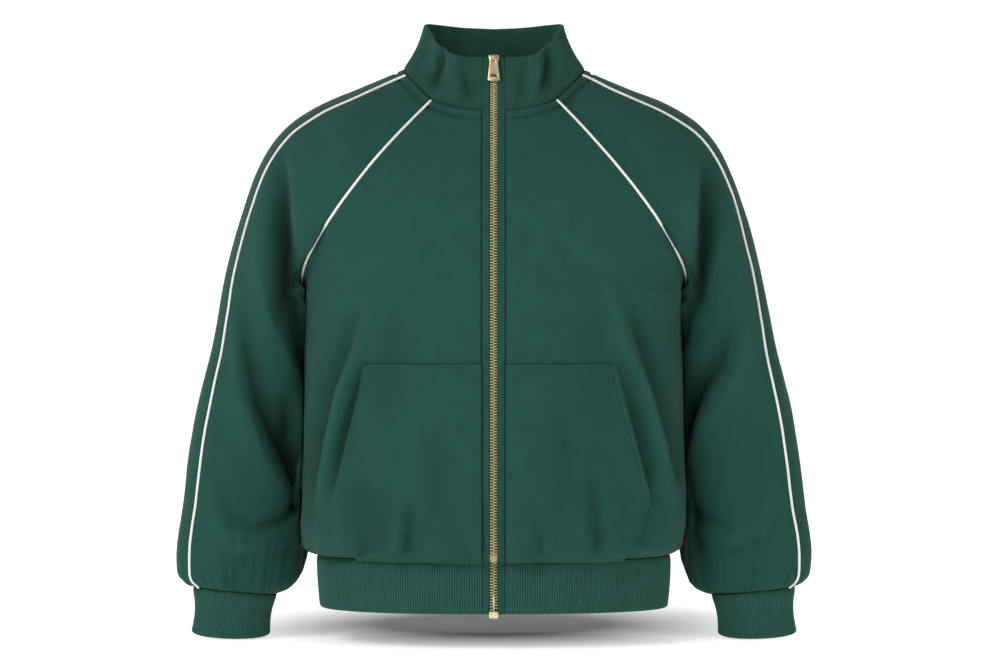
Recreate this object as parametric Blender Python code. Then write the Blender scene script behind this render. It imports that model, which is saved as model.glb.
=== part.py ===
"""A zip-up raglan sweatshirt, filled out as if worn, with nobody in it.

Every size is in millimetres. The origin lies at the neck's base on the shoulder line. +X is the
wearer's left, -Y the front and +Z up. Each cloth piece is a grid of points on the garment's outer
surface, pulled back from its seams and given its thickness inwards.
"""

import math

import bmesh
import bpy
import numpy as np
from mathutils import Vector

MM = 0.001

# Cloth and seams.
CLOTH = 2.0
RIB_WALL = 2.0
RIB_RISE = 0.7
RIB_PITCH = 3.0
SEAM = 0.15
PIPING = 1.5
PIPED_SEAM = PIPING + 0.4
UNPIPED_ROWS = 1
NECK_CORNER_SEAM = 2.8
UNDERARM_SEAM = 1.4
UNDERARM_RINGS = 2
STRIP_EDGE = 12.0
CHAIN_HALF = 3.2
GAP = 0.3

# Grid spacing of the cloth pieces.
PANEL_COLUMNS = 12
RAGLAN_ROWS = 10
SPACING = 42.0
LINE_SAMPLES = 200
RIB_INSIDE = 14.0
RIB_INNER_EDGE = 0.9

# The body below the armholes, as level sections:
# z, half width, y of the side seam, y of the zip, y of the spine.
BODY = (
    (-519, 190, 2, -114, 104),
    (-513, 200, 2, -124, 112),
    (-499, 205, 2, -129, 117),
    (-460, 207, 2, -128, 118),
    (-400, 206, 3, -125, 118),
    (-330, 205, 6, -124, 118),
    (-280, 204, 10, -125, 118),
    (-238, 203, 16, -126, 117),
)
SECTION_POWER = 0.85

# The panels' lines above the armhole: x, y, z from the underarm to the neck seam.
FRONT_RAGLAN = (
    (203, 16, -238),
    (206, -18, -226),
    (202, -50, -211),
    (191.5, -78, -192),
    (173.5, -98, -164),
    (141, -106, -120),
    (106, -93, -78),
    (66, -68, -34),
)
BACK_RAGLAN = (
    (203, 16, -238),
    (203, 50, -216),
    (189, 83, -180),
    (158, 102, -128),
    (122, 104, -80),
    (90, 91, -38),
    (61, 68, -6),
)
ZIP_LINE = ((-126, -238), (-122, -165), (-112, -110), (-87.5, -47))
SPINE_LINE = ((117, -238), (116, -165), (110, -100), (101, -52), (87, -10))
# How much of a section's quarter turn a panel row takes, at fractions of the raglan line.
ROW_TURN = ((0.0, 90), (0.15, 74), (0.4, 62), (0.7, 54), (1.0, 50))

# The neck seam across the sleeve's head, from the front raglan seam over the shoulder.
NECK_FRONT = ((66, -68, -34), (94, -33, -5))
NECK_BACK = ((94, -33, -5), (97.5, -8, 3), (94, 20, 3), (81, 48, -1), (61, 68, -6))

# The sleeve's rings below its head: x, y, z of the underarm end, x, y, z of the overarm end,
# then the y that the ring reaches in front and behind.
SLEEVE = (
    (212, 20, -249, 142, 6, -15.5, -99, 98),
    (211, 24, -257, 185, 8, -33, -91, 95),
    (209, 28, -267, 221, 9, -56, -84, 92),
    (207, 32, -278, 241, 10, -79, -78, 90),
    (206, 36, -290, 257, 10, -109, -71, 89),
    (205, 39, -303, 269, 10, -142, -64, 88),
    (203, 42, -318, 282, 10, -185, -57, 86),
    (198, 45, -355, 306, 10, -299, -46, 82),
    (196, 44, -408, 324, 10, -375, -37, 74),
    (197, 40, -460, 336, 10, -462, -31, 66),
    (200, 34, -515, 343, 10, -530, -28, 59),
    (211, 24, -547, 341, 11, -543, -24, 53),
    (235, 16, -564, 326, 12, -555, -19, 47),
)
RING_POWER = 0.95
# From the raglan seam the sleeve first runs straight out, this far.
HEAD_STEP = (9.0, 0.0, -4.0)
# How far round the ring the overarm seam lies: on the head, then on each ring below it.
OVERARM_SEAM_TURN = 28.0
SEAM_TURNS = (31, 33, 35, 37, 39, 41, 42, 43, 43, 42, 40, 40, 37)
NECK_CORNER_TURN = 42.0
FRONT_STEPS = (RAGLAN_ROWS, 1)
BACK_STEPS = (5, RAGLAN_ROWS)
ARM_CLEARANCE = 4.5
ARM_CLEARANCE_REACH = 20.0
ARM_REST_Z = -490.0

# The collar's top edge and the cuffs' and hem's lower edges.
COLLAR_TOP = (
    (STRIP_EDGE, -60, 11),
    (36, -56, 13),
    (55, -40, 23),
    (67, -20, 38),
    (74, 2, 50),
    (74, 26, 55),
    (60, 54, 57),
    (34, 70, 56),
    (0, 75, 55),
)
COLLAR_HOLLOW = 3.0
HEM_DEPTH = 55.0
HEM_TAPER = 0.985
CUFF_DEPTH = 45.5
CUFF_TAPER = 0.925
CUFF_WAIST = 0.07
# How much of the seam's tilt the cuff's foot keeps, how much lower its front hangs than its back
# for its depth, and how far the foot lies out and back.
CUFF_TILT = 0.4
CUFF_LEAN = 0.15
CUFF_SHIFT = (5.0, 1.0)

# The pocket's corners, as x and z, from the top of its mouth to its foot.
POCKET_TOP = -313.0
POCKET_MOUTH = ((131, POCKET_TOP), (165, -464), (143, -514))
POCKET_FOOT = -514.0
POCKET_OFF = 0.9
POCKET_CLOTH = 2.0
MOUTH_LIFT = 2.5
MOUTH_REACH = 22.0

# A piping's section, across the seam and out of it, in its half widths, and its ends' setback.
PIPING_SECTION = ((-0.7, -0.5), (-1.0, 0.3), (-0.55, 1.0), (0.55, 1.0), (1.0, 0.3), (0.7, -0.5))
PIPING_ENDS = (2.5, 1.5)

# The zip's metal.
CHAIN_THICK = 2.6
CHAIN_PROUD = 0.7
CHAIN_TOP = 4.0
CHAIN_FOOT_ROOM = 2.0
STOP_SIZE = (9.4, 3.8, 7.0)
STOP_BEVEL = 0.6
STOP_BELOW_HEM = 4.0
SLIDER_Z = 8.5
SLIDER_SIZE = (11.0, 3.0, 9.0)
SLIDER_OUTLINE = ((-0.5, 0.5), (0.5, 0.5), (0.5, 0.1), (0.36, -0.5), (-0.36, -0.5), (-0.5, 0.1))
BAIL_RADIUS = 2.0
BAIL_BAR = 1.0
BAIL_HALF = 0.7
BAIL_FOOT = 1.0
BAIL_STEPS = 8
TAB_THICK = 1.5
TAB_LENGTH = 26.0
TAB_TOP_HALF = 3.8
TAB_FOOT_HALF = 6.6
TAB_FOOT_CORNER = 1.0
TAB_EYE = (1.5, 4.4)
TAB_SLOT = (4.2, 18.5, 22.0)
TAB_REST = 5.0

# The largest folds: the part, x, z of one end, x, z of the other, half width, height outwards.
FOLDS = (
    ("front", 128, -230, 150, -330, 20, 5.0),
    ("front", 150, -330, 172, -470, 18, 4.5),
    ("front", 180, -270, 192, -440, 14, -5.0),
    ("front", -124, -230, -148, -300, 20, 5.0),
    ("front", -148, -300, -180, -450, 18, 4.5),
    ("front", -176, -260, -196, -400, 13, -5.0),
    ("front", 60, -150, 110, -215, 26, 2.5),
    ("front", -60, -150, -112, -215, 26, 2.5),
    ("back", 60, -170, 130, -330, 26, -5.0),
    ("back", -66, -180, -128, -350, 26, -5.0),
    ("back", 20, -300, 40, -470, 22, 4.0),
    ("back", -100, -360, -84, -490, 20, 4.0),
    ("sleeve", 226, -120, 216, -230, 18, -6.0),
    ("sleeve", 262, -150, 258, -300, 22, 4.5),
    ("sleeve", 232, -250, 222, -390, 15, -7.5),
    ("sleeve", 262, -330, 234, -440, 16, -6.0),
    ("sleeve", 300, -340, 292, -480, 20, 4.0),
    ("sleeve", 224, -440, 214, -500, 14, -6.0),
    ("sleeve", 290, -478, 220, -500, 13, 4.0),
    ("sleeve", 318, -505, 232, -524, 9, -4.5),
    ("sleeve", 326, -527, 250, -540, 9, 3.5),
)

# The back of a sleeve folds less than its front, and where it lies on the body not at all.
SLEEVE_BACK_FOLDS = 0.6
INNER_ARM_X = 212.0
INNER_ARM_FADE = 14.0

# Gathers where the cloth is eased into the hem band: height, reach up from the seam, the body's
# mean radius, then each wave's length, share and phase.
GATHER_RISE = 1.8
GATHER_REACH = 22.0
GATHER_RADIUS = 150.0
GATHER_WAVES = ((44.0, 1.0, 0.0), (71.0, 0.5, 1.0))


def smooth(knots, rows, at):
    """A cubic through the table's rows, read at other places along the knots."""
    knots = np.asarray(knots, float)
    rows = np.asarray(rows, float)
    at = np.atleast_1d(np.asarray(at, float))
    slopes = np.gradient(rows, knots, axis=0)
    low = np.clip(np.searchsorted(knots, at, side="right") - 1, 0, len(knots) - 2)
    span = (knots[low + 1] - knots[low]).reshape((-1,) + (1,) * (rows.ndim - 1))
    t = (at - knots[low]).reshape(span.shape) / span
    start = rows[low] * (2 * t**3 - 3 * t**2 + 1) + slopes[low] * span * (t**3 - 2 * t**2 + t)
    return start + rows[low + 1] * (3 * t**2 - 2 * t**3) + slopes[low + 1] * span * (t**3 - t**2)


def lengths(points):
    """How far along the line each point lies."""
    steps = np.linalg.norm(np.diff(np.asarray(points, float), axis=0), axis=1)
    return np.concatenate([[0.0], np.cumsum(steps)])


def along(points, count):
    """The same line as a smooth curve, at count + 1 evenly spaced points."""
    reach = lengths(points)
    fine = smooth(reach, points, np.linspace(0, reach[-1], LINE_SAMPLES))
    reach = lengths(fine)
    at = np.linspace(0, reach[-1], count + 1)
    return np.stack([np.interp(at, reach, fine[:, axis]) for axis in range(3)], axis=1)


def spread(knots, spacing):
    """Places along the knots that keep each knot and leave no step over the spacing."""
    places = [knots[0]]
    for low, high in zip(knots[:-1], knots[1:]):
        count = max(1, round(abs(high - low) / spacing))
        places.extend(low + (high - low) * step / count for step in range(1, count + 1))
    return np.array(places)


def body_at(z):
    """half_width, y_side, y_front and y_back of the body at each height."""
    table = np.array(BODY, float)
    return smooth(table[:, 0], table[:, 1:], z)


def panel_row(centre, edge, turn, first_x):
    """One row of a body panel, an arc from its middle line out to its edge."""
    angle = np.radians(np.linspace(0, turn, PANEL_COLUMNS + 1))
    across = np.sin(angle) ** SECTION_POWER / math.sin(math.radians(turn)) ** SECTION_POWER
    fall = np.cos(angle).clip(0) ** SECTION_POWER
    depth = (fall - fall[-1]) / (1 - fall[-1])
    x = first_x + (edge[0] - first_x) * across
    y = edge[1] + (centre[0] - edge[1]) * depth
    z = centre[1] + (edge[2] - centre[1]) * across**2
    return np.stack([x, y, z], axis=1)


def panel(depth_column, middle_line, raglan, first_x):
    """A body panel's left half: its level rows, then the rows that end on the raglan seam."""
    heights = spread([row[0] for row in BODY], SPACING)
    rows = []
    for z, values in zip(heights, body_at(heights)):
        edge = (values[0], values[1], z)
        rows.append(panel_row((values[depth_column], z), edge, 90, first_x))
    edges = along(raglan, RAGLAN_ROWS)
    fractions = np.linspace(0, 1, RAGLAN_ROWS + 1)
    middle = np.array(middle_line, float)
    centre_z = middle[0, 1] + (middle[-1, 1] - middle[0, 1]) * fractions
    centre_y = smooth(middle[:, 1], middle[:, 0], centre_z)
    turns = smooth([row[0] for row in ROW_TURN], [row[1] for row in ROW_TURN], fractions)
    for step in range(1, RAGLAN_ROWS + 1):
        centre = (centre_y[step], centre_z[step])
        rows.append(panel_row(centre, edges[step], turns[step], first_x))
    return np.array(rows)


def sleeve_rings(turns, head):
    """Part of the left sleeve: rings at these turns, shifted with the seam, below its head."""
    corners = (-NECK_CORNER_TURN, OVERARM_SEAM_TURN, NECK_CORNER_TURN, 180)
    with_seam = np.interp(turns, corners, (0, 1, 1, 0))
    rings = [head, head + np.array(HEAD_STEP)]
    for row, seam_turn in zip(SLEEVE, SEAM_TURNS):
        angle = np.radians(turns + (seam_turn - OVERARM_SEAM_TURN) * with_seam)
        along_ring = np.sign(np.cos(angle)) * np.abs(np.cos(angle)) ** RING_POWER
        bulge = np.sign(np.sin(angle)) * np.abs(np.sin(angle)) ** RING_POWER
        under, over, (y_front, y_back) = np.array(row[:3]), np.array(row[3:6]), row[6:]
        ring = (over + under) / 2 + (over - under) / 2 * along_ring[:, None]
        middle = (under[1] + over[1]) / 2
        ring[:, 1] += np.where(bulge > 0, y_front - middle, middle - y_back) * bulge
        rings.append(ring)
    start = np.array(NECK_BACK[0], float)
    overarm = [start, start + HEAD_STEP] + [row[3:6] for row in SLEEVE]
    knots = lengths(overarm)
    return smooth(knots, np.array(rings), spread(knots, SPACING))


def clear_of_body(grid):
    """Sets the sleeve's inner side against the body's side, with a little air between."""
    flat = grid.reshape(-1, 3).copy()
    low = flat[:, 2] < BODY[-1][0]
    z = np.clip(flat[:, 2], ARM_REST_Z, BODY[-1][0])
    half_width, y_side, y_front, y_back = body_at(z).T
    depth = np.where(flat[:, 1] < y_side, y_side - y_front, y_back - y_side)
    inside = np.clip(1 - np.abs((flat[:, 1] - y_side) / depth) ** (2 / SECTION_POWER), 0, 1)
    side = half_width * inside ** (SECTION_POWER / 2)
    air = ARM_CLEARANCE * np.clip((BODY[-1][0] - flat[:, 2]) / ARM_CLEARANCE_REACH, 0, 1)
    flat[:, 0] = np.where(low, np.maximum(flat[:, 0], side + air), flat[:, 0])
    return flat.reshape(grid.shape)


def mirrored(grid):
    return grid * np.array([-1.0, 1.0, 1.0])


def turns_of(stops, counts):
    """Angles from stop to stop, each stretch in its own number of steps."""
    angles = [stops[0]]
    for start, end, count in zip(stops[:-1], stops[1:], counts):
        angles.extend(start + (end - start) * step / count for step in range(1, count + 1))
    return np.array(angles)


def skins():
    """Every cloth panel as a grid of points on the outer surface, before any fold."""
    front = panel(2, ZIP_LINE, FRONT_RAGLAN, STRIP_EDGE)
    back_half = panel(3, SPINE_LINE, BACK_RAGLAN, 0.0)
    front_head = np.concatenate([along(FRONT_RAGLAN, RAGLAN_ROWS), along(NECK_FRONT, 1)[1:]])
    back_raglan = along(BACK_RAGLAN, RAGLAN_ROWS)[::-1]
    back_head = np.concatenate([along(NECK_BACK, BACK_STEPS[0]), back_raglan[1:]])
    front_turns = turns_of((180, NECK_CORNER_TURN, OVERARM_SEAM_TURN), FRONT_STEPS)
    back_turns = turns_of((OVERARM_SEAM_TURN, -NECK_CORNER_TURN, -180), BACK_STEPS)
    sleeve_front = clear_of_body(sleeve_rings(front_turns, front_head))
    sleeve_back = clear_of_body(sleeve_rings(back_turns, back_head))
    return {
        "front_left": front,
        "front_right": mirrored(front),
        "back": np.concatenate([mirrored(back_half)[:, :0:-1], back_half], axis=1),
        "sleeve_front_left": sleeve_front,
        "sleeve_front_right": mirrored(sleeve_front),
        "sleeve_back_left": sleeve_back,
        "sleeve_back_right": mirrored(sleeve_back),
    }


def grid_normals(grid, outwards):
    """Unit normals of a grid. outwards says which way round the grid runs."""
    down = np.gradient(grid, axis=0)
    over = np.gradient(grid, axis=1)
    normals = np.cross(over, down) * outwards
    return normals / np.linalg.norm(normals, axis=2, keepdims=True)


# Which way round each panel's rows and columns run.
OUTWARDS = {
    "front_left": 1,
    "front_right": -1,
    "back": -1,
    "sleeve_front_left": -1,
    "sleeve_front_right": 1,
    "sleeve_back_left": -1,
    "sleeve_back_right": 1,
}


# The two sides of a seam keep their own normals where they rise from it more steeply than this.
HOLLOW_SEAM = 0.12


def rise_from_border(grid, normals):
    """How steeply the surface leaves each border, towards the normals' side."""
    rise = np.zeros(grid.shape[:2])
    views = ((grid, normals, rise), (grid.transpose(1, 0, 2), normals.transpose(1, 0, 2), rise.T))
    for points, directions, result in views:
        for border, inner in ((0, 1), (-1, -2)):
            step = points[inner] - points[border]
            step /= np.linalg.norm(step, axis=1, keepdims=True)
            result[border] = np.maximum(result[border], np.sum(step * directions[border], axis=1))
    return rise


def shared_normals(grids):
    """Each panel's normals, the same on both sides of a seam but where it lies in a hollow."""
    normals = {name: grid_normals(grid, OUTWARDS[name]) for name, grid in grids.items()}
    sums = {}
    for name, grid in grids.items():
        for point, normal in zip(np.round(grid.reshape(-1, 3), 2), normals[name].reshape(-1, 3)):
            key = tuple(point + 0.0)
            sums[key] = sums.get(key, 0) + normal
    for name, grid in grids.items():
        keys = [tuple(point + 0.0) for point in np.round(grid.reshape(-1, 3), 2)]
        summed = np.array([sums[key] for key in keys])
        summed /= np.linalg.norm(summed, axis=1, keepdims=True).clip(0.05)
        summed = summed.reshape(grid.shape)
        hollow = rise_from_border(grid, summed) > HOLLOW_SEAM
        normals[name] = np.where(hollow[..., None], normals[name], summed)
    return normals


def fold_height(name, grid):
    """How far the folds and gathers move each point outwards."""
    x, y, z = grid[..., 0], grid[..., 1], grid[..., 2]
    side = math.copysign(1, grid[..., 0].mean()) if name != "back" else 1
    height = np.zeros(x.shape)
    for part, x1, z1, x2, z2, half_width, rise in FOLDS:
        if not name.startswith(part):
            continue
        if part == "sleeve":
            x1, x2 = x1 * side, x2 * side
        span = np.array([x2 - x1, z2 - z1], float)
        place = np.clip(((x - x1) * span[0] + (z - z1) * span[1]) / (span @ span), 0, 1)
        away = np.hypot(x - x1 - place * span[0], z - z1 - place * span[1])
        height += rise * np.exp(-((away / half_width) ** 2))
    if name.startswith("sleeve"):
        facing = 1.0 if "front" in name else SLEEVE_BACK_FOLDS
        return height * facing * np.clip((np.abs(x) - INNER_ARM_X) / INNER_ARM_FADE, 0, 1)
    above = np.clip((z - BODY[0][0]) / GATHER_REACH, 0, None)
    turn = np.arctan2(y, x) * GATHER_RADIUS * 2 * math.pi
    wave = sum(share * np.sin(turn / length + phase) for length, share, phase in GATHER_WAVES)
    return height + GATHER_RISE * above * np.exp(1 - above) * wave


def folded(grids):
    """The panels with their folds. The seams' points stay where they are on both sides."""
    normals = shared_normals(grids)
    result = {}
    for name, grid in grids.items():
        height = fold_height(name, grid)
        fade = np.ones(grid.shape[:2])
        fade[0], fade[-1], fade[:, 0], fade[:, -1] = 0, 0, 0, 0
        result[name] = grid + normals[name] * (height * fade)[..., None]
    return result


def pulled_in(grid, low, high, first, last):
    """Draws a grid's four borders in along the surface by these distances."""
    grid = grid.copy()
    for view, distance in ((grid, low), (grid[::-1], high)):
        draw_in(view[0], view[1], distance)
    turned = grid.transpose(1, 0, 2)
    for view, distance in ((turned, first), (turned[::-1], last)):
        draw_in(view[0], view[1], distance)
    return grid


def draw_in(border, inner, distance):
    """Moves a border towards the next row until it lies this far, squarely, from where it was."""
    distance = np.broadcast_to(distance, len(border))[:, None]
    run = np.gradient(border, axis=0)
    run /= np.linalg.norm(run, axis=1, keepdims=True)
    step = inner - border
    step /= np.linalg.norm(step, axis=1, keepdims=True)
    square = step - run * np.sum(step * run, axis=1, keepdims=True)
    border += step * distance / np.linalg.norm(square, axis=1, keepdims=True).clip(0.3)


def material(name, colour, roughness, metallic=0.0):
    made = bpy.data.materials.new(name)
    made.use_nodes = True
    shader = made.node_tree.nodes["Principled BSDF"]
    shader.inputs["Base Color"].default_value = (*colour, 1)
    shader.inputs["Roughness"].default_value = roughness
    shader.inputs["Metallic"].default_value = metallic
    made.diffuse_color = (*colour, 1)
    return made


def new_object(name, mesh_maker, finish):
    """An object from a function that fills a bmesh, with its faces turned outwards."""
    made = bmesh.new()
    mesh_maker(made)
    bmesh.ops.recalc_face_normals(made, faces=made.faces)
    if made.calc_volume(signed=True) < 0:
        bmesh.ops.reverse_faces(made, faces=made.faces)
    mesh = bpy.data.meshes.new(name)
    made.to_mesh(mesh)
    made.free()
    mesh.materials.append(finish)
    shape = bpy.data.objects.new(name, mesh)
    bpy.context.scene.collection.objects.link(shape)
    return shape


def strip_faces(one, other):
    """Triangles between two lines of points that may differ in number."""
    faces = []
    i = j = 0
    ends = len(one) - 1, len(other) - 1
    while i < ends[0] or j < ends[1]:
        if j == ends[1] or (i < ends[0] and (i + 1) / ends[0] <= (j + 1) / ends[1]):
            faces.append((one[i], one[i + 1], other[j]))
            i += 1
        else:
            faces.append((one[i], other[j + 1], other[j]))
            j += 1
    return faces


def wall(made, outer, inner, closed=False):
    """A cloth wall: an outer and an inner grid, joined round their borders."""
    tables = []
    for grid in (outer, inner):
        table = [[made.verts.new(Vector(point) * MM) for point in row] for row in grid]
        if closed:
            table = [row + row[:1] for row in table]
        for low, high in zip(table[:-1], table[1:]):
            for column in range(len(low) - 1):
                made.faces.new((low[column], low[column + 1], high[column + 1], high[column]))
        tables.append(table)
    pairs = [(tables[0][end], tables[1][end]) for end in (0, -1)]
    if not closed:
        for end in (0, -1):
            pairs.append([[row[end] for row in table] for table in tables])
    for one, other in pairs:
        for face in strip_faces(one, other):
            made.faces.new(face)


def ribbed_wall(made, base, normals, closed=False):
    """A knitted rib: the base rows resampled at the rib's pitch, ridges raised on the outside."""
    reach = lengths(np.vstack([base[0], base[0][:1]]) if closed else base[0])
    if closed:
        base = np.concatenate([base, base[:, :1]], axis=1)
        normals = np.concatenate([normals, normals[:, :1]], axis=1)

    def resampled(count, rise, depth):
        at = np.linspace(0, reach[-1], count + 1)
        ridge = rise * (np.arange(count + 1) % 2)
        rows = []
        for points, directions in zip(base, normals):
            place = np.stack([np.interp(at, reach, points[:, axis]) for axis in range(3)], axis=1)
            way = np.stack([np.interp(at, reach, directions[:, axis]) for axis in range(3)], axis=1)
            way /= np.linalg.norm(way, axis=1, keepdims=True)
            rows.append(place + way * (ridge - depth)[:, None])
        grid = np.array(rows)
        if depth:
            draw_in(grid[0], grid[1], RIB_INNER_EDGE)
        return grid[:, :-1] if closed else grid

    ribs = round(reach[-1] / RIB_PITCH)
    inside = round(reach[-1] / RIB_INSIDE)
    wall(made, resampled(2 * ribs, RIB_RISE, 0.0), resampled(inside, 0.0, RIB_WALL), closed)


def level_normals(rows, centre_x=0.0, centre_y=0.0):
    """Level outward normals of rows that run round an upright tube."""
    over = np.gradient(rows, axis=1)
    normals = np.cross(over, np.array([0.0, 0.0, 1.0]))
    normals /= np.linalg.norm(normals, axis=2, keepdims=True)
    outwards = rows[..., :2] - np.array([centre_x, centre_y])
    facing = np.sum(normals[..., :2] * outwards, axis=2)
    return normals * np.where(facing < 0, -1, 1)[..., None]


def round_the_back(half):
    """A left half's line, zip to spine, carried on to the right zip edge."""
    return np.concatenate([half, mirrored(half)[-2::-1]])


def collar_rows(grids):
    """Seam, middle and top rows of the collar, from the left zip edge round to the right."""
    front, back = grids["front_left"][-1], grids["back"][-1]
    head_front, head_back = grids["sleeve_front_left"][0], grids["sleeve_back_left"][0]
    spine = back.shape[0] // 2
    seam = np.concatenate(
        [
            front,
            head_front[RAGLAN_ROWS + 1 :],
            head_back[1 : BACK_STEPS[0] + 1],
            back[spine:][::-1][1:],
        ]
    )
    place = lengths(seam) / lengths(seam)[-1]
    top_line = along(COLLAR_TOP, LINE_SAMPLES)
    top_place = lengths(top_line) / lengths(top_line)[-1]
    top = np.stack([np.interp(place, top_place, top_line[:, axis]) for axis in range(3)], axis=1)
    rows = []
    for share in (0.0, 0.5, 1.0):
        row = seam + (top - seam) * share
        away = row[:, :2] / np.linalg.norm(row[:, :2], axis=1, keepdims=True)
        row[:, :2] -= away * COLLAR_HOLLOW * 4 * share * (1 - share)
        row[0, 0] = STRIP_EDGE
        rows.append(round_the_back(row))
    return np.array(rows)


def hem_rows(grids):
    """Seam, middle and lower rows of the hem band, from the left zip edge round to the right."""
    front, back = grids["front_left"][0], grids["back"][0]
    spine = back.shape[0] // 2
    seam = np.concatenate([front, back[spine:][::-1][1:]])
    rows = []
    for share, scale in ((0.0, 1.0), (1.0, HEM_TAPER)):
        row = seam * np.array([scale, scale, 1.0]) - np.array([0, 0, HEM_DEPTH * share])
        row[0, 0] = STRIP_EDGE
        rows.append(round_the_back(row))
    return np.array(rows)


def cuff_rows(grids):
    """The cuff's seam, middle and lower rows, all round the left wrist."""
    ring = np.concatenate([grids["sleeve_front_left"][-1], grids["sleeve_back_left"][-1][1:-1]])
    middle = ring.mean(axis=0)
    foot = middle + (ring - middle) * np.array([CUFF_TAPER, CUFF_TAPER, CUFF_TILT])
    foot += np.array([*CUFF_SHIFT, -CUFF_DEPTH])
    foot[:, 2] += CUFF_LEAN * (ring - middle)[:, 1]
    waist = (ring + foot) / 2
    waist[:, :2] -= CUFF_WAIST * (waist - waist.mean(axis=0))[:, :2]
    return np.array([ring, waist, foot]), middle


def piping(made, line, normals):
    """A round-topped cord let into a seam along the line."""
    run = np.gradient(line, axis=0)
    run /= np.linalg.norm(run, axis=1, keepdims=True)
    across = np.cross(normals, run)
    across /= np.linalg.norm(across, axis=1, keepdims=True)
    rings = []
    for point, out, over in zip(line, normals, across):
        places = [point + (over * side + out * rise) * PIPING for side, rise in PIPING_SECTION]
        rings.append([made.verts.new(Vector(place) * MM) for place in places])
    for low, high in zip(rings[:-1], rings[1:]):
        for side in range(len(PIPING_SECTION)):
            after = (side + 1) % len(PIPING_SECTION)
            made.faces.new((low[side], low[after], high[after], high[side]))
    made.faces.new(rings[0])
    made.faces.new(rings[-1])


def shortened(line, start, end):
    """The line with its first and last points drawn in by these distances."""
    line = line.copy()
    for view, distance in ((line, start), (line[::-1], end)):
        step = view[1] - view[0]
        view[0] += step / np.linalg.norm(step) * distance
    return line


def pocket(made, outer, side):
    """The pocket's cloth: the panel's own surface cut to the pocket's outline and moved out."""
    points = [[made.verts.new(point) for point in row] for row in outer]
    for low, high in zip(points[:-1], points[1:]):
        for column in range(len(low) - 1):
            made.faces.new((low[column], low[column + 1], high[column + 1], high[column]))
    cuts = [((0, POCKET_TOP), (0, 1)), ((0, POCKET_FOOT), (0, -1))]
    for (x1, z1), (x2, z2) in zip(POCKET_MOUTH[:-1], POCKET_MOUTH[1:]):
        cuts.append(((x1, z1), (z1 - z2, x2 - x1)))
    for (x, z), (out_x, out_z) in cuts:
        bmesh.ops.bisect_plane(
            made,
            geom=[*made.verts, *made.edges, *made.faces],
            dist=1e-4,
            plane_co=(x, 0, z),
            plane_no=(out_x, 0, out_z),
            clear_outer=True,
        )
    bmesh.ops.dissolve_degenerate(made, edges=made.edges, dist=0.05)
    (x1, z1), (x2, z2) = POCKET_MOUTH[:2]
    mouth = math.hypot(x2 - x1, z2 - z1)
    for vert in made.verts:
        inwards = ((z1 - z2) * (x1 - vert.co.x) + (x2 - x1) * (z1 - vert.co.z)) / mouth
        down = min(max((z1 - vert.co.z) / (z1 - z2), 0), 1)
        lift = MOUTH_LIFT * max(0, 1 - inwards / MOUTH_REACH) * math.sin(math.pi * down)
        vert.co.y -= POCKET_OFF + lift
    skin = list(made.faces)
    grown = bmesh.ops.extrude_face_region(made, geom=skin)
    for item in grown["geom"]:
        if isinstance(item, bmesh.types.BMVert):
            item.co.y -= POCKET_CLOTH
    for face in skin:
        face.normal_flip()
    for vert in made.verts:
        vert.co = Vector((vert.co.x * side, vert.co.y, vert.co.z)) * MM


def zip_profile(grids, collar, hem):
    """The zip's line down the front, as y and z, from the collar's top to the hem's edge."""
    rows = [collar[2, 0], collar[1, 0], *grids["front_left"][::-1, 0], hem[1, 0]]
    return np.array([(row[1], row[2]) for row in rows])


def bar_grid(profile, low_x, high_x, out):
    """Two columns of points down the zip's line, moved out squarely by this much."""
    run = np.gradient(profile, axis=0)
    run /= np.linalg.norm(run, axis=1, keepdims=True)
    outwards = np.stack([run[:, 1], -run[:, 0]], axis=1)
    place = profile + outwards * out
    columns = [np.insert(place, 0, x, axis=1) for x in (low_x, high_x)]
    return np.stack(columns, axis=1)


def block(size, centre, bevel):
    """Fills a bmesh with a box with softened edges."""

    def make(made):
        bmesh.ops.create_cube(made, size=MM)
        bmesh.ops.scale(made, vec=size, verts=made.verts)
        bmesh.ops.bevel(
            made, geom=list(made.edges), offset=bevel * MM, segments=1, affect="EDGES"
        )
        bmesh.ops.translate(made, vec=Vector(centre) * MM, verts=made.verts)

    return make


def slider_shape(made):
    """The slider's plate behind the pull's axis, narrowed towards the chain."""
    width, depth, height = SLIDER_SIZE
    for y in (BAIL_RADIUS + depth, BAIL_RADIUS):
        for across, up in SLIDER_OUTLINE:
            made.verts.new(Vector((across * width, y, up * height)) * MM)
    made.verts.ensure_lookup_table()
    count = len(SLIDER_OUTLINE)
    back, front = made.verts[:count], made.verts[count : 2 * count]
    made.faces.new(back)
    made.faces.new(front)
    for side in range(count):
        after = (side + 1) % count
        made.faces.new((back[side], back[after], front[after], front[side]))


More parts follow.
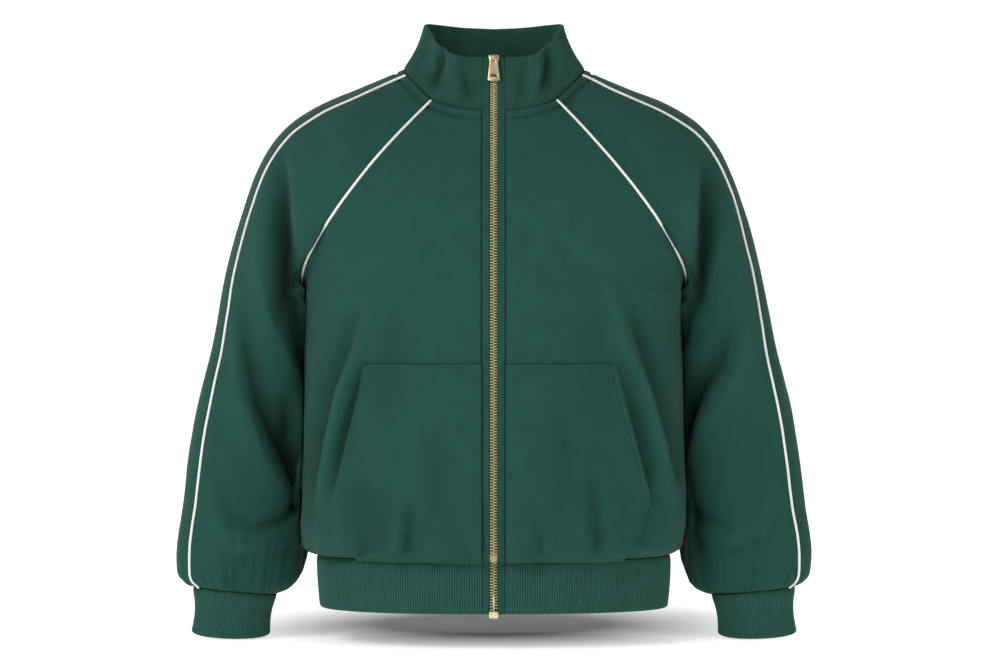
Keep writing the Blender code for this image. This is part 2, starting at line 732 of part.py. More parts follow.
def bail_shape(made):
    """A flat arch over the pull's crossbar, its feet let into the slider's plate."""
    foot_y = BAIL_RADIUS + BAIL_FOOT
    arcs = []
    for radius in (BAIL_RADIUS, BAIL_RADIUS + BAIL_BAR):
        arc = [(foot_y, radius)]
        for step in range(BAIL_STEPS + 1):
            angle = math.pi * step / BAIL_STEPS
            arc.append((-radius * math.sin(angle), radius * math.cos(angle)))
        arc.append((foot_y, -radius))
        arcs.append(arc)
    rows = []
    for x in (-BAIL_HALF, BAIL_HALF):
        rows.append([[made.verts.new(Vector((x, y, z)) * MM) for y, z in arc] for arc in arcs])
    for low, high in zip(range(len(arcs[0]) - 1), range(1, len(arcs[0]))):
        (left_in, left_out), (right_in, right_out) = rows
        made.faces.new((left_in[low], left_in[high], left_out[high], left_out[low]))
        made.faces.new((right_in[low], right_in[high], right_out[high], right_out[low]))
        made.faces.new((left_in[low], left_in[high], right_in[high], right_in[low]))
        made.faces.new((left_out[low], left_out[high], right_out[high], right_out[low]))
    for end in (0, -1):
        (left_in, left_out), (right_in, right_out) = rows
        made.faces.new((left_in[end], left_out[end], right_out[end], right_in[end]))


def tab_shape(made):
    """The pull: a plate that widens downwards, an eye round the bail and a slot near its foot."""

    def half_width(down):
        return TAB_TOP_HALF + (TAB_FOOT_HALF - TAB_TOP_HALF) * down / TAB_LENGTH

    eye_half, eye_foot = TAB_EYE
    slot_half, slot_top, slot_foot = TAB_SLOT
    levels = (-TAB_THICK / 2, TAB_THICK / 2, eye_foot, slot_top, slot_foot, TAB_LENGTH)
    holes = {1: eye_half, 3: slot_half}
    rows = []
    for level, down in enumerate(levels):
        inner = eye_half if level in (0, 1, 2) else slot_half
        outer = half_width(max(down, 0)) - (TAB_FOOT_CORNER if down == TAB_LENGTH else 0.0)
        rows.append([(x, -down) for x in (-outer, -inner, inner, outer)])
    for y in (-TAB_THICK / 2, TAB_THICK / 2):
        for row in rows:
            for x, z in row:
                made.verts.new(Vector((x, y, z)) * MM)
    made.verts.ensure_lookup_table()
    columns = 4
    count = len(levels) * columns

    def corner(side, row, column):
        return made.verts[side * count + row * columns + column]

    cells = [
        (row, column)
        for row in range(len(levels) - 1)
        for column in range(columns - 1)
        if not (column == 1 and row in holes)
    ]
    for side in (0, 1):
        for row, column in cells:
            square = (corner(side, row, column), corner(side, row, column + 1))
            square += (corner(side, row + 1, column + 1), corner(side, row + 1, column))
            made.faces.new(square)
    edges = {}
    for row, column in cells:
        loop = [(row, column), (row, column + 1), (row + 1, column + 1), (row + 1, column)]
        for start, end in zip(loop, loop[1:] + loop[:1]):
            edges[frozenset((start, end))] = edges.get(frozenset((start, end)), 0) + 1
    for edge, uses in edges.items():
        if uses == 1:
            start, end = tuple(edge)
            made.faces.new((corner(0, *start), corner(0, *end), corner(1, *end), corner(1, *start)))


def unite(shape, other):
    """Fuses two objects into the first."""
    modifier = shape.modifiers.new("Union", "BOOLEAN")
    modifier.operation = "UNION"
    modifier.object = other
    other.hide_render = True
    other.display_type = "WIRE"


def build():
    for shape in list(bpy.data.objects):
        bpy.data.objects.remove(shape, do_unlink=True)
    green = material("Green fleece", (0.020, 0.085, 0.062), 0.9)
    ribbing = material("Green rib", (0.024, 0.085, 0.065), 0.92)
    white = material("White piping", (0.80, 0.82, 0.78), 0.7)
    brass = material("Brass", (0.62, 0.47, 0.24), 0.32, 1.0)
    strip_green = material("Green strip", (0.022, 0.088, 0.066), 0.88)

    grids = folded(skins())
    normals = shared_normals(grids)
    level = len(grids["front_left"]) - RAGLAN_ROWS - 1
    raglan_seam = np.where(np.arange(RAGLAN_ROWS + 1) < UNPIPED_ROWS, SEAM, PIPED_SEAM)
    front_edge = np.concatenate([np.full(level, SEAM), raglan_seam])
    sleeve_head = np.concatenate([raglan_seam, np.full(FRONT_STEPS[1], SEAM)])
    sleeve_head[RAGLAN_ROWS] = NECK_CORNER_SEAM
    rings = np.arange(len(grids["sleeve_front_left"]))
    under_seam = np.where(rings < UNDERARM_RINGS, UNDERARM_SEAM, SEAM)
    borders = {
        "front": (SEAM, SEAM, SEAM, front_edge),
        "back": (SEAM, SEAM, SEAM, SEAM),
        "sleeve_front": (sleeve_head, SEAM, under_seam, PIPED_SEAM),
        "sleeve_back": (SEAM, SEAM, PIPED_SEAM, under_seam),
    }
    outers = {}
    for name, grid in grids.items():
        key = name.replace("_left", "").replace("_right", "")
        outers[name] = pulled_in(grid, *borders[key])
        inner = outers[name] - normals[name] * CLOTH
        new_object(name, lambda made, o=outers[name], i=inner: wall(made, o, i), green)

    collar = collar_rows(grids)
    hem = hem_rows(grids)
    for name, rows in (("collar", collar), ("hem_band", hem)):
        normal = level_normals(rows)
        base = pulled_in(rows, SEAM, 0, GAP, GAP)
        new_object(name, lambda made, b=base, n=normal: ribbed_wall(made, b, n), ribbing)
    cuff, middle = cuff_rows(grids)
    normal = level_normals(cuff, middle[0], middle[1])
    cuff = pulled_in(cuff, SEAM, 0, 0, 0)
    for name, side in (("cuff_left", 1), ("cuff_right", -1)):
        turned = np.array([side, 1, 1])
        new_object(
            name, lambda made, b=cuff * turned, n=normal * turned: ribbed_wall(made, b, n, True), ribbing
        )

    for side_name, side in (("left", 1), ("right", -1)):
        front, sleeve = "front_" + side_name, "sleeve_front_" + side_name
        piped = level + UNPIPED_ROWS
        raglan, raglan_normal = grids[front][piped:, -1], normals[front][piped:, -1]
        overarm, overarm_normal = grids[sleeve][:, -1], normals[sleeve][:, -1]
        for name, line, directions in (
            ("piping_raglan_" + side_name, raglan, raglan_normal),
            ("piping_sleeve_" + side_name, overarm, overarm_normal),
        ):
            line = shortened(line, *PIPING_ENDS)
            new_object(name, lambda made, a=line, d=directions: piping(made, a, d), white)
        outer = outers["front_left"] if side > 0 else mirrored(outers["front_right"])
        new_object("pocket_" + side_name, lambda made, o=outer, s=side: pocket(made, o, s), green)

    profile = zip_profile(grids, collar, hem)
    low_x, high_x = CHAIN_HALF + GAP, STRIP_EDGE - GAP
    for side_name, side in (("left", 1), ("right", -1)):
        turned = np.array([side, 1, 1])
        outer = bar_grid(profile, low_x, high_x, 0.0) * turned
        inner = bar_grid(profile, low_x, high_x, -CLOTH) * turned
        new_object(
            "zip_strip_" + side_name, lambda made, o=outer, i=inner: wall(made, o, i), strip_green
        )
    chain = profile[profile[:, 1] < CHAIN_TOP]
    top_y = np.interp(CHAIN_TOP, profile[:3, 1][::-1], profile[:3, 0][::-1])
    foot_z = profile[-1, 1] + STOP_SIZE[2] - STOP_BELOW_HEM
    foot_y = np.interp(foot_z, profile[-3:, 1][::-1], profile[-3:, 0][::-1])
    chain = chain[chain[:, 1] > foot_z + CHAIN_FOOT_ROOM]
    chain = np.vstack([(top_y, CHAIN_TOP), chain, (foot_y, foot_z + GAP)])
    outer = bar_grid(chain, -CHAIN_HALF, CHAIN_HALF, CHAIN_PROUD)
    inner = bar_grid(chain, -CHAIN_HALF, CHAIN_HALF, CHAIN_PROUD - CHAIN_THICK)
    new_object("zip_chain", lambda made: wall(made, outer, inner), brass)
    stop_y = profile[-1, 0] - STOP_SIZE[1] / 2 - 2 * GAP
    stop_z = foot_z - STOP_SIZE[2] / 2
    new_object("zip_stop", block(STOP_SIZE, (0, stop_y, stop_z), STOP_BEVEL), brass)

    lean = math.atan2(profile[1, 0] - profile[0, 0], profile[1, 1] - profile[0, 1]) + math.pi
    slider_y = np.interp(SLIDER_Z, profile[:2, 1][::-1], profile[:2, 0][::-1])
    out = CHAIN_PROUD + GAP + SLIDER_SIZE[1] + BAIL_RADIUS
    axis = Vector((0, slider_y - out * math.cos(lean), SLIDER_Z + out * math.sin(lean)))
    slider = new_object("zip_slider", slider_shape, brass)
    bail = new_object("bail_form", bail_shape, brass)
    tab = new_object("pull_tab", tab_shape, brass)
    for piece, rest in ((slider, 0.0), (bail, 0.0), (tab, math.radians(TAB_REST))):
        piece.location = axis * MM
        piece.rotation_euler = (rest - lean, 0, 0)
    unite(slider, bail)


build()
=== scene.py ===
"""A zip-up raglan sweatshirt in green fleece, as it is put together.

Lengths are in millimetres unless a name says otherwise. The origin is at the foot of the neck on
the shoulder line, +X is the wearer's left, -Y the front and +Z up.
"""

import math

import bmesh
import bpy
import numpy as np
from mathutils import Matrix, Vector, noise


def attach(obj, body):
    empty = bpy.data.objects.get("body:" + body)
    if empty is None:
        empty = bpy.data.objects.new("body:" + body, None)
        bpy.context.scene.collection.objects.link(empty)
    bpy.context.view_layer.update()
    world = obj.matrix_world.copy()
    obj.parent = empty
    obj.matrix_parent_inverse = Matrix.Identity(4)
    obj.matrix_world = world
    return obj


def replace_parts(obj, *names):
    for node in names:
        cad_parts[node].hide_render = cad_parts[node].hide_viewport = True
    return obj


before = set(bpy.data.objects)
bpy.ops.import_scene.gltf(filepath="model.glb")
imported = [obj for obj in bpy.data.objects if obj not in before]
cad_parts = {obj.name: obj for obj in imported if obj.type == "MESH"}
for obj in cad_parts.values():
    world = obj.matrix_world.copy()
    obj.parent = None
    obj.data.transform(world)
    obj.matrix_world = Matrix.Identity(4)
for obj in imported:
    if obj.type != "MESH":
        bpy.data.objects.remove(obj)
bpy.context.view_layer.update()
MM = 0.001

# ---------------------------------------------------------------- the fleece panels' shapes
# Two fronts, a back and four sleeve pieces are cut from 2 mm brushed-back cotton fleece. They are
# sewn at the side, raglan, overarm and underarm seams and eased into the collar, hem and cuffs.

STRIP_EDGE = 12.0
SECTION_POWER = 0.85
LINE_SAMPLES = 200
CLOTH_STEP = 5.0
SEAM_PLACES = np.array([0.0, 0.7, 1.5, 2.6, 4.2, 6.2, 7.8, 9.0, 10.2, 12.4])

# Level sections of the body: z, half width, y of the side seam, of the zip and of the spine.
BODY = (
    (-519, 190, 2, -114, 104),
    (-513, 200, 2, -124, 112),
    (-499, 205, 2, -129, 117),
    (-460, 207, 2, -128, 118),
    (-400, 206, 3, -125, 118),
    (-330, 205, 6, -124, 118),
    (-280, 204, 10, -125, 118),
    (-238, 203, 16, -126, 117),
)
# The raglan seams from the underarm to the neck, then the zip and the spine as y and z.
FRONT_RAGLAN = (
    (203, 16, -238),
    (206, -18, -226),
    (202, -50, -211),
    (191.5, -78, -192),
    (173.5, -98, -164),
    (141, -106, -120),
    (106, -93, -78),
    (66, -68, -34),
)
BACK_RAGLAN = (
    (203, 16, -238),
    (203, 50, -216),
    (189, 83, -180),
    (158, 102, -128),
    (122, 104, -80),
    (90, 91, -38),
    (61, 68, -6),
)
ZIP_LINE = ((-126, -238), (-122, -165), (-112, -110), (-87.5, -47))
SPINE_LINE = ((117, -238), (116, -165), (110, -100), (101, -52), (87, -10))
# How far round its arc a row reaches, in degrees, at a share of the raglan seam.
ROW_TURN = ((0.0, 90), (0.15, 74), (0.4, 62), (0.7, 54), (1.0, 50))
NECK_FRONT = ((66, -68, -34), (94, -33, -5))
NECK_BACK = ((94, -33, -5), (97.5, -8, 3), (94, 20, 3), (81, 48, -1), (61, 68, -6))

# The sleeve's rings: x, y, z under the arm, x, y, z over it, then its y in front and behind.
SLEEVE = (
    (205, 20, -249, 142, 6, -15.5, -99, 98),
    (205, 24, -257, 185, 8, -33, -91, 95),
    (205, 28, -267, 221, 9, -56, -84, 92),
    (205, 32, -278, 241, 10, -79, -78, 90),
    (204.5, 36, -290, 257, 10, -109, -71, 89),
    (204, 39, -303, 269, 10, -142, -64, 88),
    (203, 42, -318, 282, 10, -185, -57, 86),
    (198, 45, -355, 306, 10, -299, -46, 82),
    (196, 44, -408, 324, 10, -375, -37, 74),
    (197, 40, -460, 336, 10, -462, -31, 66),
    (200, 34, -515, 343, 10, -530, -28, 59),
    (211, 24, -547, 341, 11, -543, -24, 53),
    (235, 16, -564, 326, 12, -555, -19, 47),
)
RING_POWER = 0.95
HEAD_STEP = (9.0, 0.0, -4.0)
HEAD_STEP_LEAST = 0.1
OVERARM_SEAM_TURN = 28.0
SEAM_TURNS = (31, 33, 35, 37, 39, 41, 42, 43, 43, 42, 40, 40, 37)
NECK_CORNER_TURN = 42.0
ARM_CLEARANCE = 3.5
ARM_CLEARANCE_REACH = 20.0
ARM_REST_Z = -490.0
RAGLAN_LENGTH = 330.0
PANEL_WIDTH = 285.0
EASE_REACH = 34.0
EASE_EDGE = 40.0


def smooth(knots, rows, at):
    """A cubic through the table's rows, read at other places along the knots."""
    knots = np.asarray(knots, float)
    rows = np.asarray(rows, float)
    at = np.atleast_1d(np.asarray(at, float))
    slopes = np.gradient(rows, knots, axis=0)
    low = np.clip(np.searchsorted(knots, at, side="right") - 1, 0, len(knots) - 2)
    span = (knots[low + 1] - knots[low]).reshape((-1,) + (1,) * (rows.ndim - 1))
    t = (at - knots[low]).reshape(span.shape) / span
    start = rows[low] * (2 * t**3 - 3 * t**2 + 1) + slopes[low] * span * (t**3 - 2 * t**2 + t)
    return start + rows[low + 1] * (3 * t**2 - 2 * t**3) + slopes[low + 1] * span * (t**3 - t**2)


def soft_step(distance, reach):
    """0 at a border, rising smoothly to 1 at this reach from it."""
    t = np.clip(distance / reach, 0, 1)
    return t * t * (3 - 2 * t)


def lengths(points):
    """How far along the line each point lies."""
    steps = np.linalg.norm(np.diff(np.asarray(points, float), axis=0), axis=1)
    return np.concatenate([[0.0], np.cumsum(steps)])


def unit(vectors):
    """The same directions, each one long."""
    return vectors / np.linalg.norm(vectors, axis=-1, keepdims=True).clip(1e-9)


def at_reaches(line, reach, places):
    """Points of a polyline at these distances along it."""
    return np.stack([np.interp(places, reach, line[:, axis]) for axis in range(3)], axis=1)


def along(points, shares):
    """Points of a smooth curve through the given ones, at these shares of its length."""
    reach = lengths(points)
    fine = smooth(reach, points, np.linspace(0, reach[-1], LINE_SAMPLES))
    reach = lengths(fine)
    return at_reaches(fine, reach, shares * reach[-1])


def shares_of(length, step=CLOTH_STEP):
    """Shares of a length from 0 to 1, close together beside the seams at its two ends."""
    count = max(2, round((length - 2 * SEAM_PLACES[-1]) / step))
    inner = np.linspace(SEAM_PLACES[-1], length - SEAM_PLACES[-1], count + 1)
    return np.concatenate([SEAM_PLACES[:-1], inner, length - SEAM_PLACES[-2::-1]]) / length


def body_at(z):
    """half_width, y_side, y_front and y_back of the body at each height."""
    table = np.array(BODY, float)
    return smooth(table[:, 0], table[:, 1:], z)


def body_side(y, z):
    """How far out the body's side is at these places below the armholes."""
    half_width, y_side, y_front, y_back = body_at(z).T
    depth = np.where(y < y_side, y_side - y_front, y_back - y_side)
    inside = np.clip(1 - np.abs((y - y_side) / depth) ** (2 / SECTION_POWER), 0, 1)
    return half_width * inside ** (SECTION_POWER / 2)


def panel_row(centre, edge, turn, first_x, columns):
    """One row of a body panel, an arc from its middle line out to its edge."""
    angle = np.radians(turn * columns)
    across = np.sin(angle) ** SECTION_POWER / math.sin(math.radians(turn)) ** SECTION_POWER
    fall = np.cos(angle).clip(0) ** SECTION_POWER
    depth = (fall - fall[-1]) / (1 - fall[-1])
    x = first_x + (edge[0] - first_x) * across
    y = edge[1] + (centre[0] - edge[1]) * depth
    z = centre[1] + (edge[2] - centre[1]) * across**2
    return np.stack([x, y, z], axis=1)


RAGLAN_SHARES = shares_of(RAGLAN_LENGTH)
PANEL_SHARES = shares_of(PANEL_WIDTH)


def eased(rows, height):
    """The panel with its bend at this height rounded off, but at its outer edge."""
    made = rows.copy()
    edge_gap = np.linalg.norm(rows - rows[:, -1:], axis=2)
    for column in range(rows.shape[1] - 1):
        z = rows[:, column, 2]
        away = np.abs(z - height)
        kept = away >= EASE_REACH
        eased_y = smooth(z[kept], rows[kept, column, 1:2], z)[:, 0]
        share = soft_step(edge_gap[:, column], EASE_EDGE) * (away < EASE_REACH)
        made[:, column, 1] += (eased_y - rows[:, column, 1]) * share
    return made


def panel(depth_column, middle_line, raglan, first_x):
    """A body panel's left half: its level rows, then the rows that end on the raglan seam."""
    foot, top = BODY[0][0], BODY[-1][0]
    heights = foot + (top - foot) * shares_of(top - foot)
    rows = []
    for z, values in zip(heights, body_at(heights)):
        edge = (values[0], values[1], z)
        rows.append(panel_row((values[depth_column], z), edge, 90, first_x, PANEL_SHARES))
    edges = along(raglan, RAGLAN_SHARES)
    middle = np.array(middle_line, float)
    centre_z = middle[0, 1] + (middle[-1, 1] - middle[0, 1]) * RAGLAN_SHARES
    centre_y = smooth(middle[:, 1], middle[:, 0], centre_z)
    turns = smooth(*zip(*ROW_TURN), RAGLAN_SHARES)
    for step in range(1, len(RAGLAN_SHARES)):
        centre = (centre_y[step], centre_z[step])
        rows.append(panel_row(centre, edges[step], turns[step], first_x, PANEL_SHARES))
    return eased(np.array(rows), top)


def signed_power(values, power):
    return np.sign(values) * np.abs(values) ** power


def sleeve_rings(turns, head):
    """Part of the left sleeve: rings at these turns, shifted with the seam, below its head."""
    corners = (-NECK_CORNER_TURN, OVERARM_SEAM_TURN, NECK_CORNER_TURN, 180)
    with_seam = np.interp(turns, corners, (0, 1, 1, 0))
    step_share = HEAD_STEP_LEAST + (1 - HEAD_STEP_LEAST) * (1 + np.cos(np.radians(turns))) / 2
    rings = [head, head + np.array(HEAD_STEP) * step_share[:, None]]
    for row, seam_turn in zip(SLEEVE, SEAM_TURNS):
        angle = np.radians(turns + (seam_turn - OVERARM_SEAM_TURN) * with_seam)
        along_ring = signed_power(np.cos(angle), RING_POWER)
        bulge = signed_power(np.sin(angle), RING_POWER)
        under, over, (y_front, y_back) = np.array(row[:3]), np.array(row[3:6]), row[6:]
        ring = (over + under) / 2 + (over - under) / 2 * along_ring[:, None]
        middle = (under[1] + over[1]) / 2
        ring[:, 1] += np.where(bulge > 0, y_front - middle, middle - y_back) * bulge
        rings.append(ring)
    start = np.array(NECK_BACK[0], float)
    overarm = [start, start + HEAD_STEP] + [row[3:6] for row in SLEEVE]
    knots = lengths(overarm)
    return smooth(knots, np.array(rings), knots[-1] * shares_of(knots[-1]))


def clear_of_body(grid):
    """Sets the sleeve's inner side against the body's side, with a little air between."""
    flat = grid.reshape(-1, 3).copy()
    low = flat[:, 2] < BODY[-1][0]
    side = body_side(flat[:, 1], np.clip(flat[:, 2], ARM_REST_Z, BODY[-1][0]))
    air = ARM_CLEARANCE * np.clip((BODY[-1][0] - flat[:, 2]) / ARM_CLEARANCE_REACH, 0, 1)
    flat[:, 0] = np.where(low, np.maximum(flat[:, 0], side + air), flat[:, 0])
    return flat.reshape(grid.shape)


def mirrored(grid):
    return grid * np.array([-1.0, 1.0, 1.0])


front = panel(2, ZIP_LINE, FRONT_RAGLAN, STRIP_EDGE)
back_half = panel(3, SPINE_LINE, BACK_RAGLAN, 0.0)
neck_front_shares = shares_of(lengths(NECK_FRONT)[-1])
neck_back_shares = shares_of(lengths(NECK_BACK)[-1])
front_turns = np.concatenate(
    [
        180 + (NECK_CORNER_TURN - 180) * RAGLAN_SHARES,
        NECK_CORNER_TURN + (OVERARM_SEAM_TURN - NECK_CORNER_TURN) * neck_front_shares[1:],
    ]
)
back_turns = np.concatenate(
    [
        OVERARM_SEAM_TURN - (NECK_CORNER_TURN + OVERARM_SEAM_TURN) * neck_back_shares,
        -NECK_CORNER_TURN - (180 - NECK_CORNER_TURN) * (1 - RAGLAN_SHARES[-2::-1]),
    ]
)
front_head = np.concatenate(
    [along(FRONT_RAGLAN, RAGLAN_SHARES), along(NECK_FRONT, neck_front_shares)[1:]]
)
back_head = np.concatenate(
    [along(NECK_BACK, neck_back_shares), along(BACK_RAGLAN, RAGLAN_SHARES)[-2::-1]]
)
sleeve_front = clear_of_body(sleeve_rings(front_turns, front_head))
sleeve_back = clear_of_body(sleeve_rings(back_turns, back_head))
skins = {
    "front_left": front,
    "front_right": mirrored(front),
    "back": np.concatenate([mirrored(back_half)[:, :0:-1], back_half], axis=1),
    "sleeve_front_left": sleeve_front,
    "sleeve_front_right": mirrored(sleeve_front),
    "sleeve_back_left": sleeve_back,
    "sleeve_back_right": mirrored(sleeve_back),
}
OUTWARDS = {
    "front_left": 1,
    "front_right": -1,
    "back": -1,
    "sleeve_front_left": -1,
    "sleeve_front_right": 1,
    "sleeve_back_left": -1,
    "sleeve_back_right": 1,
}


def grid_normals(grid, outwards):
    """Unit normals of a grid. outwards says which way round the grid runs."""
    return unit(np.cross(np.gradient(grid, axis=1), np.gradient(grid, axis=0)) * outwards)


def border_points(grid):
    """A grid's border points: row, column, and the place as a key that a seam's sides share."""
    edge = np.ones(grid.shape[:2], bool)
    edge[1:-1, 1:-1] = False
    return [(*place, tuple(np.round(grid[tuple(place)], 2) + 0.0)) for place in np.argwhere(edge)]


HOLLOW_SEAM = 0.25
LEAST_SUM = 0.1


def shared_normals(grids):
    """Each panel's normals, the same on both sides of a seam but where it lies in a hollow."""
    normals = {name: grid_normals(grid, OUTWARDS[name]) for name, grid in grids.items()}
    borders = {name: border_points(grid) for name, grid in grids.items()}
    sums = {}
    for name, border in borders.items():
        for row, column, key in border:
            sums[key] = sums.get(key, 0) + normals[name][row, column]
    for name, border in borders.items():
        for row, column, key in border:
            size = np.linalg.norm(sums[key])
            facing = sums[key] @ normals[name][row, column] / max(size, 1e-9)
            if size > LEAST_SUM and facing > HOLLOW_SEAM:
                normals[name][row, column] = sums[key] / size
    return normals


# ---------------------------------------------------------------- how the fleece hangs
# The cloth is soft and heavy. It breaks from the armholes, rolls over the hem and cuffs, and has
# a shallow hollow along every seam and row of topstitching.

